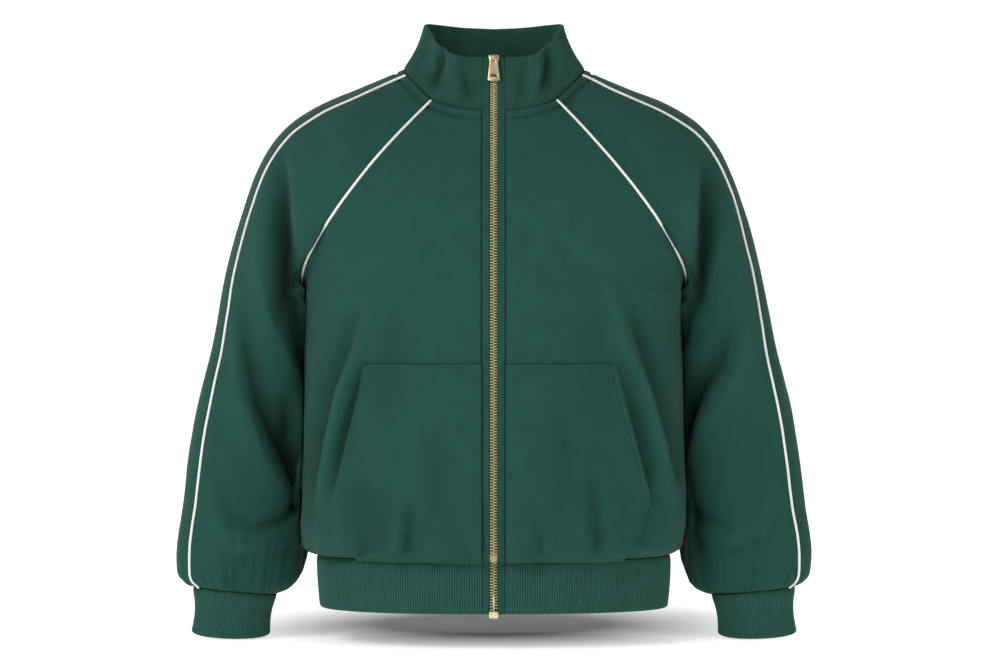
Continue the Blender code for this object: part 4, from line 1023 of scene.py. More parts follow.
def front_y(x, z):
    """The front panels' surface below the armholes."""
    half_width, y_side, y_front, _ = body_at(z.ravel()).T.reshape(4, *z.shape)
    share = np.clip((x - STRIP_EDGE) / (half_width - STRIP_EDGE), 0, 1)
    return y_side + (y_front - y_side) * (1 - share ** (2 / SECTION_POWER)) ** (SECTION_POWER / 2)


pocket_faces = {}
for side_name, side in SIDES:
    mouth = np.array(POCKET_MOUTHS[side_name], float)
    depth = POCKET_TOP - POCKET_FOOT
    z_rows = POCKET_FOOT + depth * shares_of(depth)
    mouth_x = np.interp(z_rows, mouth[::-1, 1], mouth[::-1, 0])
    mouth_x = np.convolve(np.pad(mouth_x, 2, mode="edge"), EDGE_SMOOTHING, "valid")
    x = STRIP_EDGE + (mouth_x[:, None] - STRIP_EDGE) * shares_of(POCKET_WIDTH)
    z = np.broadcast_to(z_rows[:, None], x.shape)
    grid = np.stack([x, front_y(x, z), z], axis=-1)
    ways = grid_normals(grid, 1)
    if side < 0:
        grid, ways = mirrored(grid), mirrored(ways)
    low, high, first, last = border_reaches(grid)
    folds, loose = body_relief("front_" + side_name, grid)
    folds *= soft_step(z - BODY[0][0], RIB_SEAM_FADE) * soft_step(first, CREASE_FADE)
    open_mouth = soft_step(z - MOUTH_FOOT, MOUTH_FADE)
    stitched = np.minimum(np.minimum(high, first), last + MOUTH_FREE * open_mouth)
    down = np.clip((z - MOUTH_FOOT) / (POCKET_TOP - MOUTH_FOOT), 0, 1)
    edge_power, middle_power = MOUTH_LIFT_POWERS
    lift = MOUTH_LIFT[side_name] * np.clip(1 - last / MOUTH_REACH, 0, 1) ** edge_power
    height = folds + loose + POCKET_RISE + lift * np.sin(math.pi * down) ** middle_power
    turned_in = 1 - soft_step(last - MOUTH_HEM + BAND_EDGE / 2, BAND_EDGE)
    height += MOUTH_HEM_RISE * turned_in * open_mouth
    height -= MOUTH_STITCH_DIP * bell(last - MOUTH_HEM, 1.0) * open_mouth
    height -= POCKET_SEAM_DIP * bell(stitched, POCKET_SEAM_REACH)
    height -= TURNED_EDGE * bell(last, TURNED_EDGE_REACH) * open_mouth
    face = grid + ways * height[..., None]
    pocket_faces[side_name] = (face, ways)
    cloth = np.stack([first, low, stitched], axis=-1).reshape(-1, 3)
    # The fold values set painted shade in the pocket's creases.
    name, fold = "pocket_cloth_" + side_name, folds / FOLD_FULL
    piece = cloth_shell(name, face, ways, POCKET_CLOTH, cloth, fold, fleece_faces)
    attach(piece, "garment")
    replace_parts(piece, "pocket_" + side_name)
    flat, area = cut_of(grid)
    rests_on = ["front_" + side_name + "_cloth"]

# ---------------------------------------------------------------- collar, hem band and cuffs
# 1x1 rib knit, folded double with the fold at the free edge. The knit's ridges run up and down
# the band, about 2.6 mm apart, and show on both faces.

RIB_PITCH = 2.6
RIB_POINTS = 5
RIB_RISE = 0.62
RIB_THICK = 2.4
RIDGE_POWER = 0.75
RIB_LOOP = 1.0
RIB_FOLD_FULL = 5.0
FOLD_ANGLES = (30, 60, 90, 120, 150)
# At its seam the band is drawn in and its ridges are lower, and darker by painted shade.
RIB_SEAM_PLACES = (0.0, 0.8, 1.8, 3.4)
RIB_STEP = 6.0
RIB_STEPS_LEAST = 7
RIB_SETTLE = 5.0
RIB_SEAM_PULL = 0.8
RIB_SEAM_RISE = 0.35
RIB_SEAM_RIDGE_PAINTED_LIGHT = 0.4
BAND_KNOTS = np.linspace(0, 1, 9)
COLLAR_TOP = (
    (STRIP_EDGE, -60, 11),
    (36, -56, 13),
    (55, -40, 23),
    (67, -20, 38),
    (74, 2, 50),
    (74, 26, 55),
    (60, 54, 57),
    (34, 70, 56),
    (0, 75, 55),
)
COLLAR_HOLLOW = 3.0
# Darkens the collar's whole outer face, mixed in with its painted fold shade.
COLLAR_SHADE = 0.36
HEM_DEPTH = 55.0
HEM_TAPER = 0.985
HEM_BELLY = 1.2
CUFF_DEPTH = 45.5
CUFF_TAPER = 0.925
CUFF_WAIST = 0.07
CUFF_TILT = 0.4
CUFF_LEAN = 0.15
CUFF_SHIFT = (5.0, 1.0)
CUFF_RADIUS = 40.0
# The bands' unevenness: a wave's length and height, and how fast the gathers die away.
COLLAR_WAVE = (26.0, 1.1)
HEM_WAVE = (45.0, 1.3)
HEM_GATHER = (11.0, 1.3, 3.2)
CUFF_GATHER = (9.0, 1.2, 2.2)
ZIP_EDGE_FADES = {"collar": 10.0, "hem": 8.0}
# The collar's soft upright creases: half width, then x, z and height.
COLLAR_CREASE_START = 0.25
COLLAR_CREASES = (
    (6, (-54, 30, -1), (-56, 10, -6), (-64, -14, -4), (-70, -30, -1)),
    (7, (-62, 26, 2), (-66, 4, 3)),
    (6, (-38, 16, -0.5), (-37, 0, -4), (-30, -20, -4.5), (-26, -34, -2)),
    (8, (-46, 18, 3), (-44, -4, 3.5), (-38, -26, 2)),
    (6, (56, 30, -1), (60, 8, -6), (56, -16, -4.5), (48, -32, -1)),
    (7, (64, 24, 2), (68, 2, 3)),
    (7, (46, 18, 3), (45, -6, 3.5), (40, -28, 1.5)),
    (6, (31, 10, -0.5), (30, -10, -3), (28, -30, -2)),
)


def rib_finish():
    finish, shader, start = new_finish("green rib knit", 0.93, **COTTON)
    cloth, fold = mesh_value(start, "cloth", 1), mesh_value(start, "fold", 2)
    across, down, ridge = cloth.part(0), cloth.part(1), cloth.part(2)
    lean = (across * (2 * math.pi / RIB_PITCH)).math("COSINE")
    loops = (down * (2 * math.pi / RIB_LOOP) + lean * 1.4).wave()
    fuzz, mottle = cloth.speckle(1.2, 3.0, 0.7), cloth.speckle(0.06, 3.0, 0.6)
    # Painted light: the third cloth value lightens each rib's ridge and darkens its grooves and
    # seam.
    tone = ridge * 0.8 + mottle * 0.3 + fuzz * 0.22 + loops * 0.06 - 0.24
    lit = tone.between((0.0055, 0.031, 0.023, 1), (0.034, 0.129, 0.100, 1))
    with_painted_fold_shade(fold, lit).feed(shader, "Base Color")
    (fuzz * 0.1 + 0.86).feed(shader, "Roughness")
    (loops * 0.12 + fuzz * 0.22).raise_surface(shader, 0.5)
    return finish


rib_knit = rib_finish()


def level_normals(rows, centre=(0.0, 0.0)):
    """Level outward normals of rows that run round an upright tube."""
    ways = unit(np.cross(np.gradient(rows, axis=1), np.array([0.0, 0.0, 1.0])))
    facing = np.sum(ways[..., :2] * (rows[..., :2] - np.array(centre)), axis=2)
    return ways * np.where(facing < 0, -1, 1)[..., None]


def round_the_back(half):
    """A left half's line, zip to spine, carried on to the right zip edge."""
    return np.concatenate([half, mirrored(half)[-2::-1]])


def rib_band(name, edge_to_fold, relief, closed=False, centre=(0.0, 0.0), shade=0.0):
    """A folded rib band. edge_to_fold gives its outer surface's row at a share of its depth."""
    rows = np.array([edge_to_fold(share) for share in BAND_KNOTS])
    if closed:
        rows = np.concatenate([rows, rows[:, :1]], axis=1)
    reach = lengths(rows[0])
    places = np.linspace(0, reach[-1], round(reach[-1] / RIB_PITCH) * RIB_POINTS + 1)
    rows = np.array([at_reaches(row, reach, places) for row in rows])
    if closed:
        rows = rows[:, :-1]
        lapped = np.concatenate([rows[:, -2:], rows, rows[:, :2]], axis=1)
        ways = level_normals(lapped, centre)[:, 2:-2]
    else:
        ways = level_normals(rows, centre)
    depth = np.linalg.norm(rows[-1] - rows[0], axis=1).mean()
    phase = (np.arange(rows.shape[1]) % RIB_POINTS) / RIB_POINTS
    ridge = (0.5 - 0.5 * np.cos(2 * math.pi * phase)) ** RIDGE_POWER
    last_share = 1 - RIB_THICK / 2 / depth
    steps = max(RIB_STEPS_LEAST, round(depth / RIB_STEP))
    inner = np.linspace(RIB_STEP / depth, last_share, steps)
    shares = np.concatenate([np.array(RIB_SEAM_PLACES) / depth, inner])
    loop = [(share, 0) for share in shares]
    loop += [(last_share, angle) for angle in FOLD_ANGLES]
    loop += [(share, 180) for share in shares[::-1]]
    run = unit(smooth(BAND_KNOTS, rows, 1.0)[0] - smooth(BAND_KNOTS, rows, 0.9)[0])
    across = places[: rows.shape[1]]
    grid, cloth, folds = [], [], []
    for share, angle in loop:
        base, way = (smooth(BAND_KNOTS, table, share)[0] for table in (rows, ways))
        out = way * math.cos(math.radians(angle)) + run * math.sin(math.radians(angle))
        settle = soft_step(np.array(share * depth), RIB_SETTLE)
        rise = RIB_RISE * (RIB_SEAM_RISE + (1 - RIB_SEAM_RISE) * settle) * ridge[:, None]
        push = relief(base, share)
        point = base - way * RIB_THICK / 2 + out * (RIB_THICK / 2 + rise) + way * push[:, None]
        grid.append(point - way * (1 - settle) * RIB_SEAM_PULL)
        # The fold values set painted shade in the band's creases; shade darkens the outer face
        # further.
        outside = angle < 90
        folds.append(push / RIB_FOLD_FULL - shade if outside else -push / RIB_FOLD_FULL)
        travel = np.full(len(across), share * depth if outside else (2 - share) * depth)
        # The tone is painted light and shade: highest on a rib's ridge, lower at the seam.
        tone = ridge * (RIB_SEAM_RIDGE_PAINTED_LIGHT + (1 - RIB_SEAM_RIDGE_PAINTED_LIGHT) * settle)
        cloth.append(np.stack([across, travel, tone], axis=1))
    grid, cloth = np.array(grid), np.array(cloth).reshape(-1, 3)
    quads = grid_quads(*grid.shape[:2], wrap_rows=True, wrap_columns=closed)
    if not closed:
        columns = grid.shape[1]
        step = np.arange(len(loop) // 2)
        for column in (0, columns - 1):
            one, other = step * columns + column, (len(loop) - 1 - step) * columns + column
            end = np.stack([one[:-1], one[1:], other[1:], other[:-1]], axis=1)
            quads = np.concatenate([quads, end])
    piece = mesh_object(name, grid.reshape(-1, 3), quads, (rib_knit,), cloth, fold=np.array(folds))
    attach(piece, "garment")
    return piece


def collar_row(share):
    seam_place = neck_reach / neck_reach[-1]
    top_line = along(COLLAR_TOP, np.linspace(0, 1, LINE_SAMPLES))
    top_reach = lengths(top_line) / lengths(top_line)[-1]
    row = half_neck + (at_reaches(top_line, top_reach, seam_place) - half_neck) * share
    row[:, :2] -= unit(row[:, :2]) * COLLAR_HOLLOW * 4 * share * (1 - share)
    row[0, 0] = STRIP_EDGE
    return round_the_back(row)


def hem_row(share):
    seam = np.concatenate([front[0], back_half[0][::-1][1:]])
    scale = 1 + (HEM_TAPER - 1) * share
    row = seam * np.array([scale, scale, 1.0]) - np.array([0, 0, HEM_DEPTH * share])
    row[:, :2] += unit(seam[:, :2]) * HEM_BELLY * math.sin(math.pi * share)
    row[0, 0] = STRIP_EDGE
    return round_the_back(row)


cuff_ring = np.concatenate([sleeve_front[-1], sleeve_back[-1][1:-1]])
cuff_middle = cuff_ring.mean(axis=0)


def cuff_row(share):
    foot = cuff_middle + (cuff_ring - cuff_middle) * np.array([CUFF_TAPER, CUFF_TAPER, CUFF_TILT])
    foot += np.array([*CUFF_SHIFT, -CUFF_DEPTH])
    foot[:, 2] += CUFF_LEAN * (cuff_ring - cuff_middle)[:, 1]
    row = cuff_ring + (foot - cuff_ring) * share
    row[:, :2] -= CUFF_WAIST * math.sin(math.pi * share) * (row - row.mean(axis=0))[:, :2]
    return row


def collar_relief(base, share):
    x, y, z = base.T
    start = soft_step(np.array(share), COLLAR_CREASE_START)
    rise = creased(COLLAR_CREASES, x, z) * (y < 0) * start
    edge = soft_step(np.abs(x) - STRIP_EDGE, ZIP_EDGE_FADES["collar"])
    length, height = COLLAR_WAVE
    return rise * edge + height * waves(x / length, y / length, share * 1.2) * edge


def hem_relief(base, share):
    turn = np.arctan2(base[:, 1], base[:, 0]) * GATHER_RADIUS
    edge = soft_step(np.abs(base[:, 0]) - STRIP_EDGE, ZIP_EDGE_FADES["hem"])
    length, height, fade = HEM_GATHER
    quick = height * waves(turn / length, 3.5, share * 1.4) * math.exp(-fade * share)
    length, height = HEM_WAVE
    slow = height * waves(turn / length, 9.5, share)
    return (quick + slow) * np.where(base[:, 1] < 0, edge, 1.0)


def cuff_relief(base, share):
    x, y = np.abs(base[:, 0]) - cuff_middle[0], base[:, 1] - cuff_middle[1]
    length, height, fade = CUFF_GATHER
    place = np.arctan2(y, x) * CUFF_RADIUS / length
    return height * waves(place, 5.5, share * 1.5) * math.exp(-fade * share)


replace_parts(rib_band("collar_rib", collar_row, collar_relief, shade=COLLAR_SHADE), "collar")
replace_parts(rib_band("hem_rib", hem_row, hem_relief), "hem_band")
for side_name, side in SIDES:

    def side_row(share, side=side):
        return cuff_row(share) * np.array([side, 1, 1])

    centre = (cuff_middle[0] * side, cuff_middle[1])
    band = rib_band("cuff_rib_" + side_name, side_row, cuff_relief, True, centre)
    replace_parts(band, "cuff_" + side_name)

# ---------------------------------------------------------------- piping
# White cotton piping, a cord in a bias-cut cover, let into each front raglan seam and each
# overarm seam from the neck to the cuff. Its flange is sewn in with the seam.

PIPING_RADIUS = 1.42
PIPING_PROUD = 0.3
PIPING_STEP = 1.6
PIPING_SIDES = 12
PIPING_SWAY = 0.25
PIPING_SWAY_LENGTH = 19.0
END_LEAST = 0.02
TWILL_PITCH = 0.9
NO_SEAM = 9.0


def piping_finish():
    settings = {"Sheen_Weight": 0.05, "Specular_IOR_Level": 0.3}
    finish, shader, start = new_finish("white piping", 0.78, **settings)
    cloth = mesh_value(start, "cloth", 1)
    twill = ((cloth.part(0) * 1.3 + cloth.part(1)) * (2 * math.pi / TWILL_PITCH)).wave()
    soil = cloth.speckle(0.25, 4.0, 0.6)
    tone = soil * 0.8 + twill * 0.2
    tone.between((0.84, 0.85, 0.82, 1), (0.97, 0.97, 0.95, 1)).feed(shader, "Base Color")
    (soil * 0.2 + 0.66).feed(shader, "Roughness")
    (twill * 0.16 + soil * 0.12).raise_surface(shader, 0.6)
    return finish


white_piping = piping_finish()


def tube_quads(rings, sides):
    """The faces of a tube of rings of points, and those that close its two ends."""
    half = np.arange(sides // 2 - 1)
    quads = [grid_quads(rings, sides, wrap_columns=True)]
    for start in (0, (rings - 1) * sides):
        near, far = start + half, start + sides - 1 - half
        quads.append(np.stack([near, near + 1, far - 1, far], axis=1))
    return np.concatenate(quads)


def rings_round(line, across, ways, sides, radii, places):
    """Rings of points round a line, and how far round and along the cord each one lies."""
    angle = np.arange(sides) * 2 * math.pi / sides
    cos, sin = np.cos(angle)[None, :, None], np.sin(angle)[None, :, None]
    grid = line[:, None] + (across[:, None] * cos + ways[:, None] * sin) * radii[:, None, None]
    return grid, *np.broadcast_arrays(angle[None], places[:, None])


def round_cord(name, line, ways, radius, finish, sides=PIPING_SIDES):
    """A cord along a line, closed with a rounded end at both ends."""
    reach = lengths(line)
    places = np.linspace(0, reach[-1], max(2, round(reach[-1] / PIPING_STEP)) + 1)
    line, ways = at_reaches(line, reach, places), unit(at_reaches(ways, reach, places))
    near_end = np.minimum(places, places[-1] - places)
    radii = radius * np.sqrt(np.clip(near_end / radius, END_LEAST, 1))
    across = unit(np.cross(ways, unit(np.gradient(line, axis=0))))
    grid, turned, down = rings_round(line, across, ways, sides, radii, places)
    cloth = np.stack([turned * radius, down, np.full(turned.shape, NO_SEAM)], axis=-1)
    quads = tube_quads(len(line), sides)
    return mesh_object(name, grid.reshape(-1, 3), quads, (finish,), cloth.reshape(-1, 3))


level_rows = len(front) - len(RAGLAN_SHARES)
for side_name, _ in SIDES:
    front_name, sleeve_name = "front_" + side_name, "sleeve_front_" + side_name
    for name, panel_name, border in (
        ("piping_raglan_" + side_name, front_name, (slice(level_rows, None), -1)),
        ("piping_sleeve_" + side_name, sleeve_name, (slice(None), -1)),
    ):
        line, ways = skins[panel_name][border], normals[panel_name][border]
        sway = PIPING_SWAY * waves(*line.T / PIPING_SWAY_LENGTH)
        place = line + ways * (swell(line[:, None])[:, 0] + PIPING_PROUD + sway)[:, None]
        cord = round_cord(name + "_cord", place, ways, PIPING_RADIUS, white_piping)
        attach(cord, "garment")
        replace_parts(cord, name)

# ---------------------------------------------------------------- topstitching
# Lockstitch in dyed-to-match thread: a row 9 mm below the neck seam all round, one beside each
# edge of the zip strips, and rows round the pockets and 6.5 mm in from their mouths.

STITCH = 2.7
STITCH_GAP = 0.75
THREAD = 0.26
STITCH_SIDES = 6
# Along one stitch: the share of its length, its radius, and how high it lies on the cloth.
STITCH_SHARES = np.array([0.0, 0.14, 0.5, 0.86, 1.0])
STITCH_RADII = THREAD * np.array([0.45, 0.9, 1.0, 0.9, 0.45])
STITCH_HEIGHTS = THREAD * np.array([-1.3, 0.1, 0.55, 0.1, -1.3])
EDGE_ROW = 2.0
# The share of each line that its row of stitches runs along.
MOUTH_ROW_START = 6.0
MOUTH_ROW_END = 0.99
ROW_MARGIN = 0.03
POCKET_TOP_ROW = (0.01, 0.985)


def thread_finish():
    finish, shader, start = new_finish("green thread", 0.6, Sheen_Weight=0.15)
    cloth = mesh_value(start, "cloth", 1)
    twist = ((cloth.part(0) * 2.2 + cloth.part(1)) * 6.0).wave()
    twist.between((0.012, 0.055, 0.040, 1), (0.028, 0.100, 0.076, 1)).feed(shader, "Base Color")
    (twist * 0.2 + 0.5).feed(shader, "Roughness")
    return finish


green_thread = thread_finish()


def line_in(grid, ways, depth):
    """The line that lies this far along the cloth from a grid's first row."""
    down = border_reaches(grid)[0].T
    line, directions = [], []
    for table, points in ((grid, line), (ways, directions)):
        for reach, column in zip(down, table.transpose(1, 2, 0)):
            points.append([np.interp(depth, reach, axis) for axis in column])
    return np.array(line), np.array(directions)


def turned(grid):
    return grid.transpose(1, 0, 2)


def joined(parts):
    """The points, faces and cloth places of several meshes as one."""
    points, quads, cloth = zip(*parts)
    starts = np.cumsum([0, *(len(part) for part in points)])
    quads = [part + start for part, start in zip(quads, starts)]
    return np.concatenate(points), np.concatenate(quads), np.concatenate(cloth)


def stitch_row(line, ways, keep=(0.0, 1.0)):
    """Points and faces of a row of stitches along part of a line."""
    reach = lengths(line)
    start, end = reach[-1] * keep[0], reach[-1] * keep[1]
    stitches = []
    for index in range(int((end - start) / (STITCH + STITCH_GAP))):
        places = start + index * (STITCH + STITCH_GAP) + STITCH * STITCH_SHARES
        middle, way = at_reaches(line, reach, places), unit(at_reaches(ways, reach, places))
        across = np.cross(way, unit(middle[-1] - middle[0]))
        middle = middle + way * STITCH_HEIGHTS[:, None]
        rings, angle, down = rings_round(
            middle, across, way, STITCH_SIDES, STITCH_RADII, places
        )
        cloth = np.stack([angle * THREAD, down, angle * THREAD], -1).reshape(-1, 3)
        quads = grid_quads(len(places), STITCH_SIDES, wrap_columns=True)
        stitches.append((rings.reshape(-1, 3), quads, cloth))
    return joined(stitches)


def stitching(name, rows):
    """One piece of all these rows of stitches."""
    points, quads, cloth = joined([stitch_row(*row) for row in rows])
    piece = mesh_object(name, points, quads, (green_thread,), cloth)
    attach(piece, "garment")


neck_rows = []
for name, grid in hung.items():
    ways = normals[name]
    if not name.startswith("sleeve"):
        neck_rows.append(line_in(grid[::-1], ways[::-1], NECK_STITCH))
        continue
    columns = slice(corner, None) if "front" in name else slice(None, len(neck_back_shares))
    neck_rows.append(line_in(grid[:, columns], ways[:, columns], NECK_STITCH))
stitching("neck_topstitching", neck_rows)

pocket_rows = []
for face, ways in pocket_faces.values():
    mouth_end = (MOUTH_FOOT + MOUTH_ROW_START - POCKET_FOOT) / (POCKET_TOP - POCKET_FOOT)
    from_mouth = turned(face)[::-1], turned(ways)[::-1]
    pocket_rows.append((*line_in(*from_mouth, MOUTH_HEM), (mouth_end, MOUTH_ROW_END)))
    pocket_rows.append((*line_in(*from_mouth, EDGE_ROW), (ROW_MARGIN, mouth_end - ROW_MARGIN)))
    pocket_rows.append((*line_in(face[::-1], ways[::-1], EDGE_ROW), POCKET_TOP_ROW))
stitching("pocket_topstitching", pocket_rows)

# ---------------------------------------------------------------- the zip
# An open-end brass zip on dark green cotton tape, between two folded strips of the fleece. Its
# teeth are clamped to the tape's edge. A bottom box closes its foot, and its slider is at the top.

STRIP_ROW_X = 10.3
STRIP_ROW_HEIGHT = 0.12
# The sections of a strip and of its tape: x, and how far out from the zip's line.
STRIP_SECTION = (
    (4.45, -1.5),
    (4.25, -0.8),
    (4.4, -0.1),
    (4.9, 0.35),
    (5.9, 0.6),
    (7.4, 0.65),
    (9.0, 0.5),
    (9.8, 0.15),
    (10.4, 0.0),
    (11.0, 0.1),
    (11.6, -0.15),
    (12.1, -0.9),
    (12.15, -1.9),
    (11.0, -2.2),
    (8.5, -2.15),
    (6.0, -2.15),
    (5.0, -2.05),
)
TAPE_SECTION = (
    (0.7, -0.75),
    (0.7, -1.25),
    (2.9, -1.3),
    (4.1, -2.55),
    (6.2, -2.75),
    (9.0, -2.75),
    (13.0, -2.85),
    (13.0, -2.45),
    (9.0, -2.3),
    (6.2, -2.3),
    (4.4, -2.15),
    (3.1, -0.8),
)
ZIP_STEP = 3.0
STRIP_ROW = (0.01, 0.99)
STRIP_RIPPLE = 0.35
STRIP_RIPPLE_LENGTH = 23.0
STRIP_RIPPLE_REACH = 9.0
STRIP_KNIT_SHIFT = 40
TAPE_EDGE = 9.0
TOOTH_PITCH = 2.95
# A tooth's sections from its root to its head: x, half height and half depth.
TOOTH_SECTIONS = (
    (-3.85, 0.34, 0.7),
    (-3.65, 0.48, 1.1),
    (-1.2, 0.46, 1.3),
    (-0.25, 0.30, 1.0),
    (0.5, 0.36, 0.95),
    (0.95, 0.26, 0.7),
)
TOOTH_RING = (
    (1, 0.45), (0.6, 1), (-0.6, 1), (-1, 0.45), (-1, -0.45), (-0.6, -1), (0.6, -1), (1, -0.45)
)
TOOTH_DEPTH = -0.55
CHAIN_TOP = 4.0
CHAIN_FOOT = -571.5
# Where the metal parts stand, and how far each leans back, in degrees.
HINGE = (0.0, -66.55, 10.59)
HINGE_LEAN = -20.41
TAB_LEAN = -15.41
STOP_PLACE = (0.0, -114.55, -574.4)
STOP_LEAN = 2.0


def zip_profile():
    """The zip's line down the front, as x, y and z, from the collar's top to the hem's edge."""
    rows = [collar_row(share)[0] for share in np.linspace(1, 0, 7)]
    rows += list(front[-2::-1, 0]) + [hem_row(share)[0] for share in np.linspace(0, 1, 9)[1:]]
    line = np.array(rows) * np.array([0.0, 1.0, 1.0])
    reach = lengths(line)
    return at_reaches(line, reach, np.linspace(0, reach[-1], round(reach[-1] / ZIP_STEP) + 1))


zip_line = zip_profile()
zip_run = unit(np.gradient(zip_line, axis=0))
zip_out = np.stack([zip_run[:, 0], zip_run[:, 2], -zip_run[:, 1]], axis=1)
zip_reach = lengths(zip_line)
zip_sway = swell(zip_line[:, None])[:, 0]


def zip_bar(name, section, side, finish, edge):
    """A long strip beside the teeth: its section swept down the zip's line."""
    x, out = np.array(section).T
    ripple = waves(zip_reach / STRIP_RIPPLE_LENGTH, side * 5.0, 1.5)[:, None]
    out = out + zip_sway[:, None] + STRIP_RIPPLE * ripple * (x - STRIP_EDGE) / STRIP_RIPPLE_REACH
    grid = zip_line[:, None] + zip_out[:, None] * out[..., None]
    grid[..., 0] = side * x
    across, to_edge = x + STRIP_KNIT_SHIFT * side, (edge - x).clip(0)
    cloth = np.stack(np.broadcast_arrays(across, zip_reach[:, None], to_edge), -1)
    quads = tube_quads(len(zip_line), len(section))
    piece = mesh_object(name, grid.reshape(-1, 3), quads, (finish,), cloth.reshape(-1, 3))
    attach(piece, "garment")
    return piece


tape, tape_shader, tape_start = new_finish("green cotton tape", 0.8, Sheen_Weight=0.15)
tape_cloth = mesh_value(tape_start, "cloth", 1)
tape_weave = ((tape_cloth.part(1) + tape_cloth.part(0) * 1.6) * 5.5).wave()
tape_tone = tape_weave.between((0.006, 0.024, 0.018, 1), (0.014, 0.052, 0.040, 1))
tape_tone.feed(tape_shader, "Base Color")
tape_weave.raise_surface(tape_shader, 0.5, 0.1 * MM)

for side_name, side in SIDES:
    strip = zip_bar("zip_strip_cloth_" + side_name, STRIP_SECTION, side, fleece, STRIP_EDGE)
    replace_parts(strip, "zip_strip_" + side_name)
    band = zip_bar("zip_tape_" + side_name, TAPE_SECTION, side, tape, TAPE_EDGE)

strip_rows = []
for _, side in SIDES:
    row = zip_line + zip_out * (zip_sway[:, None] + STRIP_ROW_HEIGHT)
    strip_rows.append((row + np.array([side * STRIP_ROW_X, 0, 0]), zip_out, STRIP_ROW))
stitching("zip_strip_topstitching", strip_rows)


def brass_finish():
    finish, shader, start = new_finish("pale brass", 0.34, Metallic=0.8)
    places = start.node("TexCoord", {}, {}, 3)
    wear = places.speckle(420.0, 4.0, 0.6)
    tone = wear * 1.3 - 0.2
    tone.between((0.70, 0.55, 0.26, 1), (1.0, 0.88, 0.56, 1)).feed(shader, "Base Color")
    (wear * 0.35 + 0.16).feed(shader, "Roughness")
    places.speckle(2600.0, 2.0).raise_surface(shader, 0.3, 0.05 * MM)
    return finish


brass = brass_finish()


def tooth_chain(name):
    """Both rows of teeth. Each tooth is lofted from its root on the tape to its head."""
    top, foot = (np.interp(-z, -zip_line[:, 2], zip_reach) for z in (CHAIN_TOP, CHAIN_FOOT))
    ring = np.array(TOOTH_RING)
    tooth = tube_quads(len(TOOTH_SECTIONS), len(ring))
    points, quads = [], []
    for index in range(int((foot - top) / TOOTH_PITCH * 2)):
        place = np.array([top + (index + 0.5) * TOOTH_PITCH / 2])
        tables = (zip_line, zip_run, zip_out)
        middle, run, out = (at_reaches(table, zip_reach, place)[0] for table in tables)
        middle = middle + out * (np.interp(place, zip_reach, zip_sway)[0] + TOOTH_DEPTH)
        side = 1 if index % 2 else -1
        for x, half_height, half_depth in TOOTH_SECTIONS:
            spread = run * ring[:, :1] * half_height + out * ring[:, 1:] * half_depth
            points.append(middle + spread + np.array([x * side, 0, 0]))
        first = index * len(ring) * len(TOOTH_SECTIONS)
        quads.append((tooth if side > 0 else tooth[:, ::-1]) + first)
    return mesh_object(name, np.concatenate(points), np.concatenate(quads), (brass,))


def arc(centre, radius, start, end, steps=6):
    """Points on an arc, angles in degrees."""
    angles = np.radians(np.linspace(start, end, steps + 1))
    return [(centre[0] + radius * math.cos(a), centre[1] + radius * math.sin(a)) for a in angles]


def rounded(corners, radius):
    """A closed outline, counter-clockwise, with its corners rounded."""
    outline = []
    for index, corner_place in enumerate(corners):
        here = Vector(corner_place)
        before = (Vector(corners[index - 1]) - here).normalized()
        after = (Vector(corners[(index + 1) % len(corners)]) - here).normalized()
        for step in np.linspace(0, 1, 5):
            near, far = here + before * radius, here + after * radius
            point = near.lerp(here, step).lerp(here.lerp(far, step), step)
            outline.append(tuple(point))
    return outline


def block(left, right, foot, top, radius):
    """The outline of a rectangle with its corners rounded."""
    return rounded(((left, foot), (right, foot), (right, top), (left, top)), radius)


def plate(outline, half_thick, edge, holes=()):
    """A flat plate with rounded edges, in its own XY plane."""
    curve = bpy.data.curves.new("plate", "CURVE")
    curve.dimensions, curve.fill_mode = "2D", "BOTH"
    curve.extrude, curve.bevel_depth = (half_thick - edge) * MM, edge * MM
    curve.bevel_resolution = 2
    for loop in (outline, *holes):
        spline = curve.splines.new("POLY")
        spline.points.add(len(loop) - 1)
        for point, (x, y) in zip(spline.points, loop):
            point.co = (x * MM, y * MM, 0, 1)
        spline.use_cyclic_u = True
    holder = bpy.data.objects.new("plate", curve)
    mesh = bpy.data.meshes.new_from_object(holder)
    bpy.data.objects.remove(holder)
    return mesh


WELD = 0.001
SHARP = 40
UPRIGHT = Matrix.Rotation(math.radians(90), 4, "X")
SIDEWAYS = Matrix(((0, 0, 1, 0), (1, 0, 0, 0), (0, 1, 0, 0), (0, 0, 0, 1)))


def metal_piece(name, plates, place, lean):
    """One piece of these plates. Each is given with the matrix that sets it in place."""
    made = bmesh.new()
    for mesh, matrix in plates:
        mesh.transform(matrix)
        made.from_mesh(mesh)
    where = Matrix.Translation(Vector(place) * MM) @ Matrix.Rotation(math.radians(lean), 4, "X")
    bmesh.ops.transform(made, matrix=where, verts=made.verts)
    bmesh.ops.remove_doubles(made, verts=made.verts, dist=WELD * MM)
    mesh = bpy.data.meshes.new(name)
    made.to_mesh(mesh)
    made.free()
    mesh.materials.append(brass)
    mesh.polygons.foreach_set("use_smooth", np.ones(len(mesh.polygons), bool))
    mesh.set_sharp_from_angle(angle=math.radians(SHARP))
    piece = placed(name, mesh)
    return piece


def set_back(distance):
    return Matrix.Translation(Vector((0, distance, 0)) * MM) @ UPRIGHT


teeth = tooth_chain("zip_teeth")
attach(teeth, "garment")
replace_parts(teeth, "zip_chain")

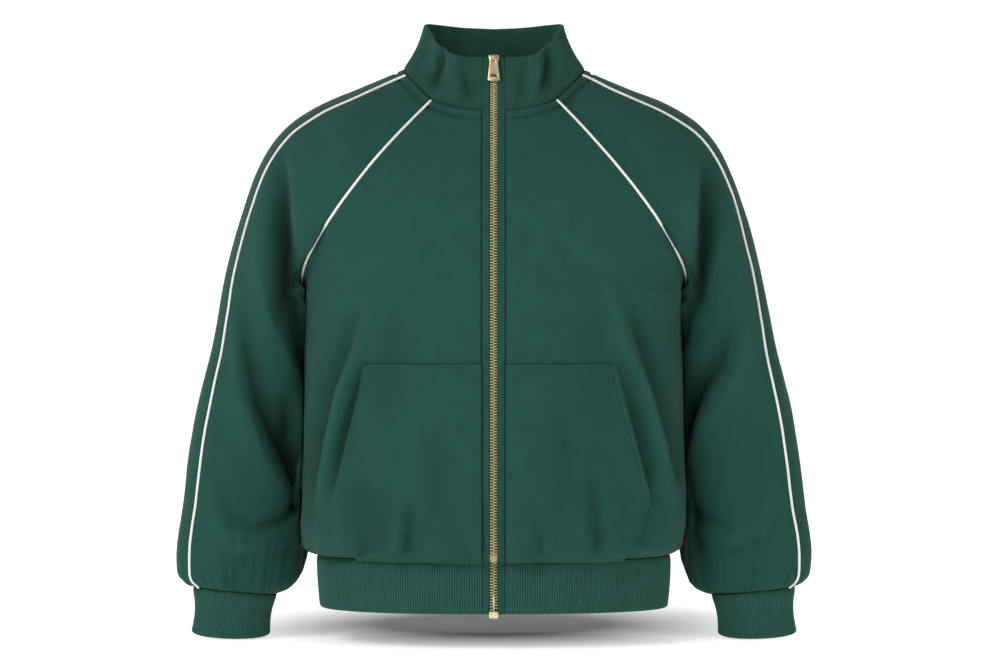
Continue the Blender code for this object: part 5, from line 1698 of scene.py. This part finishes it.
# The bottom box: its body, a raised cheek on each side, and the pin that stands in it.
stop_cheek = block(0.45, 3.9, -2.7, 2.7, 0.9)
other_cheek = [(-x, y) for x, y in stop_cheek[::-1]]
stop_plates = [
    (plate(block(-4.4, 4.4, -3.2, 3.2, 1.2), 1.6, 0.4), set_back(0.2)),
    (plate(stop_cheek, 0.8, 0.3), set_back(-1.15)),
    (plate(other_cheek, 0.8, 0.3), set_back(-1.15)),
    (plate(block(-0.3, 0.3, -3.3, 3.6, 0.2), 0.5, 0.2), set_back(-1.2)),
]
bottom_stop = metal_piece("zip_bottom_box", stop_plates, STOP_PLACE, STOP_LEAN)
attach(bottom_stop, "garment")
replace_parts(bottom_stop, "zip_stop")

# The slider: its body, a crown with three scallops, and the bail that carries the tab.
SCALLOP = 3.7
scallop_places = np.linspace(5.1, -5.1, 41)
scallops = [(x, 3.0 + 0.95 * abs(math.cos(math.pi * x / SCALLOP))) for x in scallop_places]
shoulders = arc((4.6, 1.4), 0.8, -60, 30), arc((-4.6, 1.4), 0.8, 150, 240)
crown = [*shoulders[0], *scallops, *shoulders[1], (-3.4, -3.9), (3.4, -3.9)]
slider_corners = ((-3.6, -4.2), (3.6, -4.2), (5.0, 0.5), (4.6, 3.6), (-4.6, 3.6), (-5.0, 0.5))
BAIL_OUTER, BAIL_INNER = 2.9, 2.0
bail_outside = [(BAIL_OUTER, -BAIL_OUTER), *arc((0, 0), BAIL_OUTER, 270, 90, 14)]
bail_inside = [(BAIL_OUTER, BAIL_INNER), *arc((0, 0), BAIL_INNER, 90, 270, 14)]
bail = [*bail_outside, (BAIL_OUTER, BAIL_OUTER), *bail_inside, (BAIL_OUTER, -BAIL_INNER)]
slider_plates = [
    (plate(rounded(slider_corners, 1.0), 1.25, 0.35), set_back(3.9)),
    (plate(crown, 0.6, 0.25), set_back(2.7)),
    (plate(bail[::-1], 0.75, 0.15), SIDEWAYS),
]
slider = metal_piece("zip_slider_body", slider_plates, HINGE, HINGE_LEAN)
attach(slider, "garment")
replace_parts(slider, "zip_slider")

tab_outline = rounded(((-6.3, -25.7), (6.3, -25.7), (3.6, 0.55), (-3.6, 0.55)), 0.9)
tab_eye, tab_slot = block(-1.6, 1.6, -4.5, -1.0, 0.8), block(-4.3, 4.3, -22.1, -18.4, 1.6)
tab_plates = [(plate(tab_outline, 0.75, 0.25, (tab_eye, tab_slot)), UPRIGHT)]
pull = metal_piece("zip_pull", tab_plates, HINGE, TAB_LEAN)
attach(pull, "pull_tab")
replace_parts(pull, "pull_tab")

# ---------------------------------------------------------------- studio
# A white sweep under and behind the garment, which glows but in an ellipse round the hem,
# where leaving the glow out paints a shadow pool. A broad lamp stands above the camera, weaker
# ones at the sides and the back, in a dim white room.

FLOOR = -611.5
SWEEP_HALF = 11000.0
SWEEP = (
    (-2600, 0),
    (-1000, 0),
    (600, 0),
    (2200, 0),
    (3800, 0),
    (5000, 0),
    (5700, 0),
    (6600, 120),
    (7300, 620),
    (7700, 1500),
    (7900, 2900),
    (8000, 9000),
)
SWEEP_STEPS = 160
PAPER = 0.55
PAPER_GLOW = 0.9
# The painted shadow on the paper, where its glow is left out: how a place in metres is scaled
# and shifted, and where it fades out.
SHADE_SCALE = (3.9, 4.2, 0)
SHADE_SHIFT = (0, -0.72, 0)
SHADE_EDGE = 0.5
SHADE_FADE = 0.9
# Each lamp: its place, width, height and power.
LAMPS = (
    ("key", (-1700, -2000, 1800), 1300, 1300, 63.0),
    ("left", (-2700, -900, 250), 900, 1600, 8.0),
    ("right", (2300, -1800, 800), 1200, 1600, 25.0),
    ("back", (-900, 2500, 1900), 1600, 1600, 16.0),
)
AIM = (0, 0, -320)
ROOM_LIGHT = 0.08
CAMERA_PLACE = (10.8, -3200, -284)
CAMERA_LENS = 105.8
CAMERA_REACH = 60.0

sweep_line = along([(0.0, y, z) for y, z in SWEEP], np.linspace(0, 1, SWEEP_STEPS))
sweep_edges = [sweep_line + np.array([x, 0, FLOOR]) for x in (-SWEEP_HALF, SWEEP_HALF)]
sweep_points = np.stack(sweep_edges, axis=1).reshape(-1, 3)
paper, paper_shader, paper_start = new_finish(
    "white paper sweep",
    0.95,
    Base_Color=(PAPER, PAPER, PAPER, 1),
    Emission_Strength=1.0,
    Specular_IOR_Level=0.0,
)
place = paper_start.node("TexCoord", {}, {}, 3)
values = {0: place, 1: SHADE_SCALE, 2: SHADE_SHIFT}
around = place.node("VectorMath", {"operation": "MULTIPLY_ADD"}, values)
near = around.node("VectorMath", {"operation": "LENGTH"}, {0: around}, 1)
# The glow fades out towards the ellipse under the hem, painting a shadow pool there.
far = ((near - SHADE_EDGE) / SHADE_FADE).math("MINIMUM", 1.0).math("MAXIMUM", 0.0)
glow = far.between((0.0, 0.0, 0.0, 1), (PAPER_GLOW, PAPER_GLOW, PAPER_GLOW, 1))
glow.feed(paper_shader, "Emission Color")
sweep = mesh_object("studio_sweep", sweep_points, grid_quads(SWEEP_STEPS, 2), (paper,))

room = bpy.data.worlds.new("studio")
room.use_nodes = True
background = room.node_tree.nodes["Background"]
background.inputs["Color"].default_value = (1, 1, 1, 1)
background.inputs["Strength"].default_value = ROOM_LIGHT
bpy.context.scene.world = room
bpy.context.scene.view_settings.view_transform = "Standard"
for name, place, width, height, power in LAMPS:
    light = bpy.data.lights.new(name, "AREA")
    light.shape, light.energy = "RECTANGLE", power
    light.size, light.size_y = width * MM, height * MM
    lamp = placed(name, light)
    lamp.location = Vector(place) * MM
    lamp.rotation_euler = (Vector(AIM) - Vector(place)).to_track_quat("-Z", "Y").to_euler()

lens = bpy.data.cameras.new("camera")
lens.lens, lens.sensor_width = CAMERA_LENS, 36.0
lens.clip_end = CAMERA_REACH
camera = placed("camera", lens)
camera.location = Vector(CAMERA_PLACE) * MM
camera.rotation_euler = (math.radians(90), 0, 0)
bpy.context.scene.camera = camera
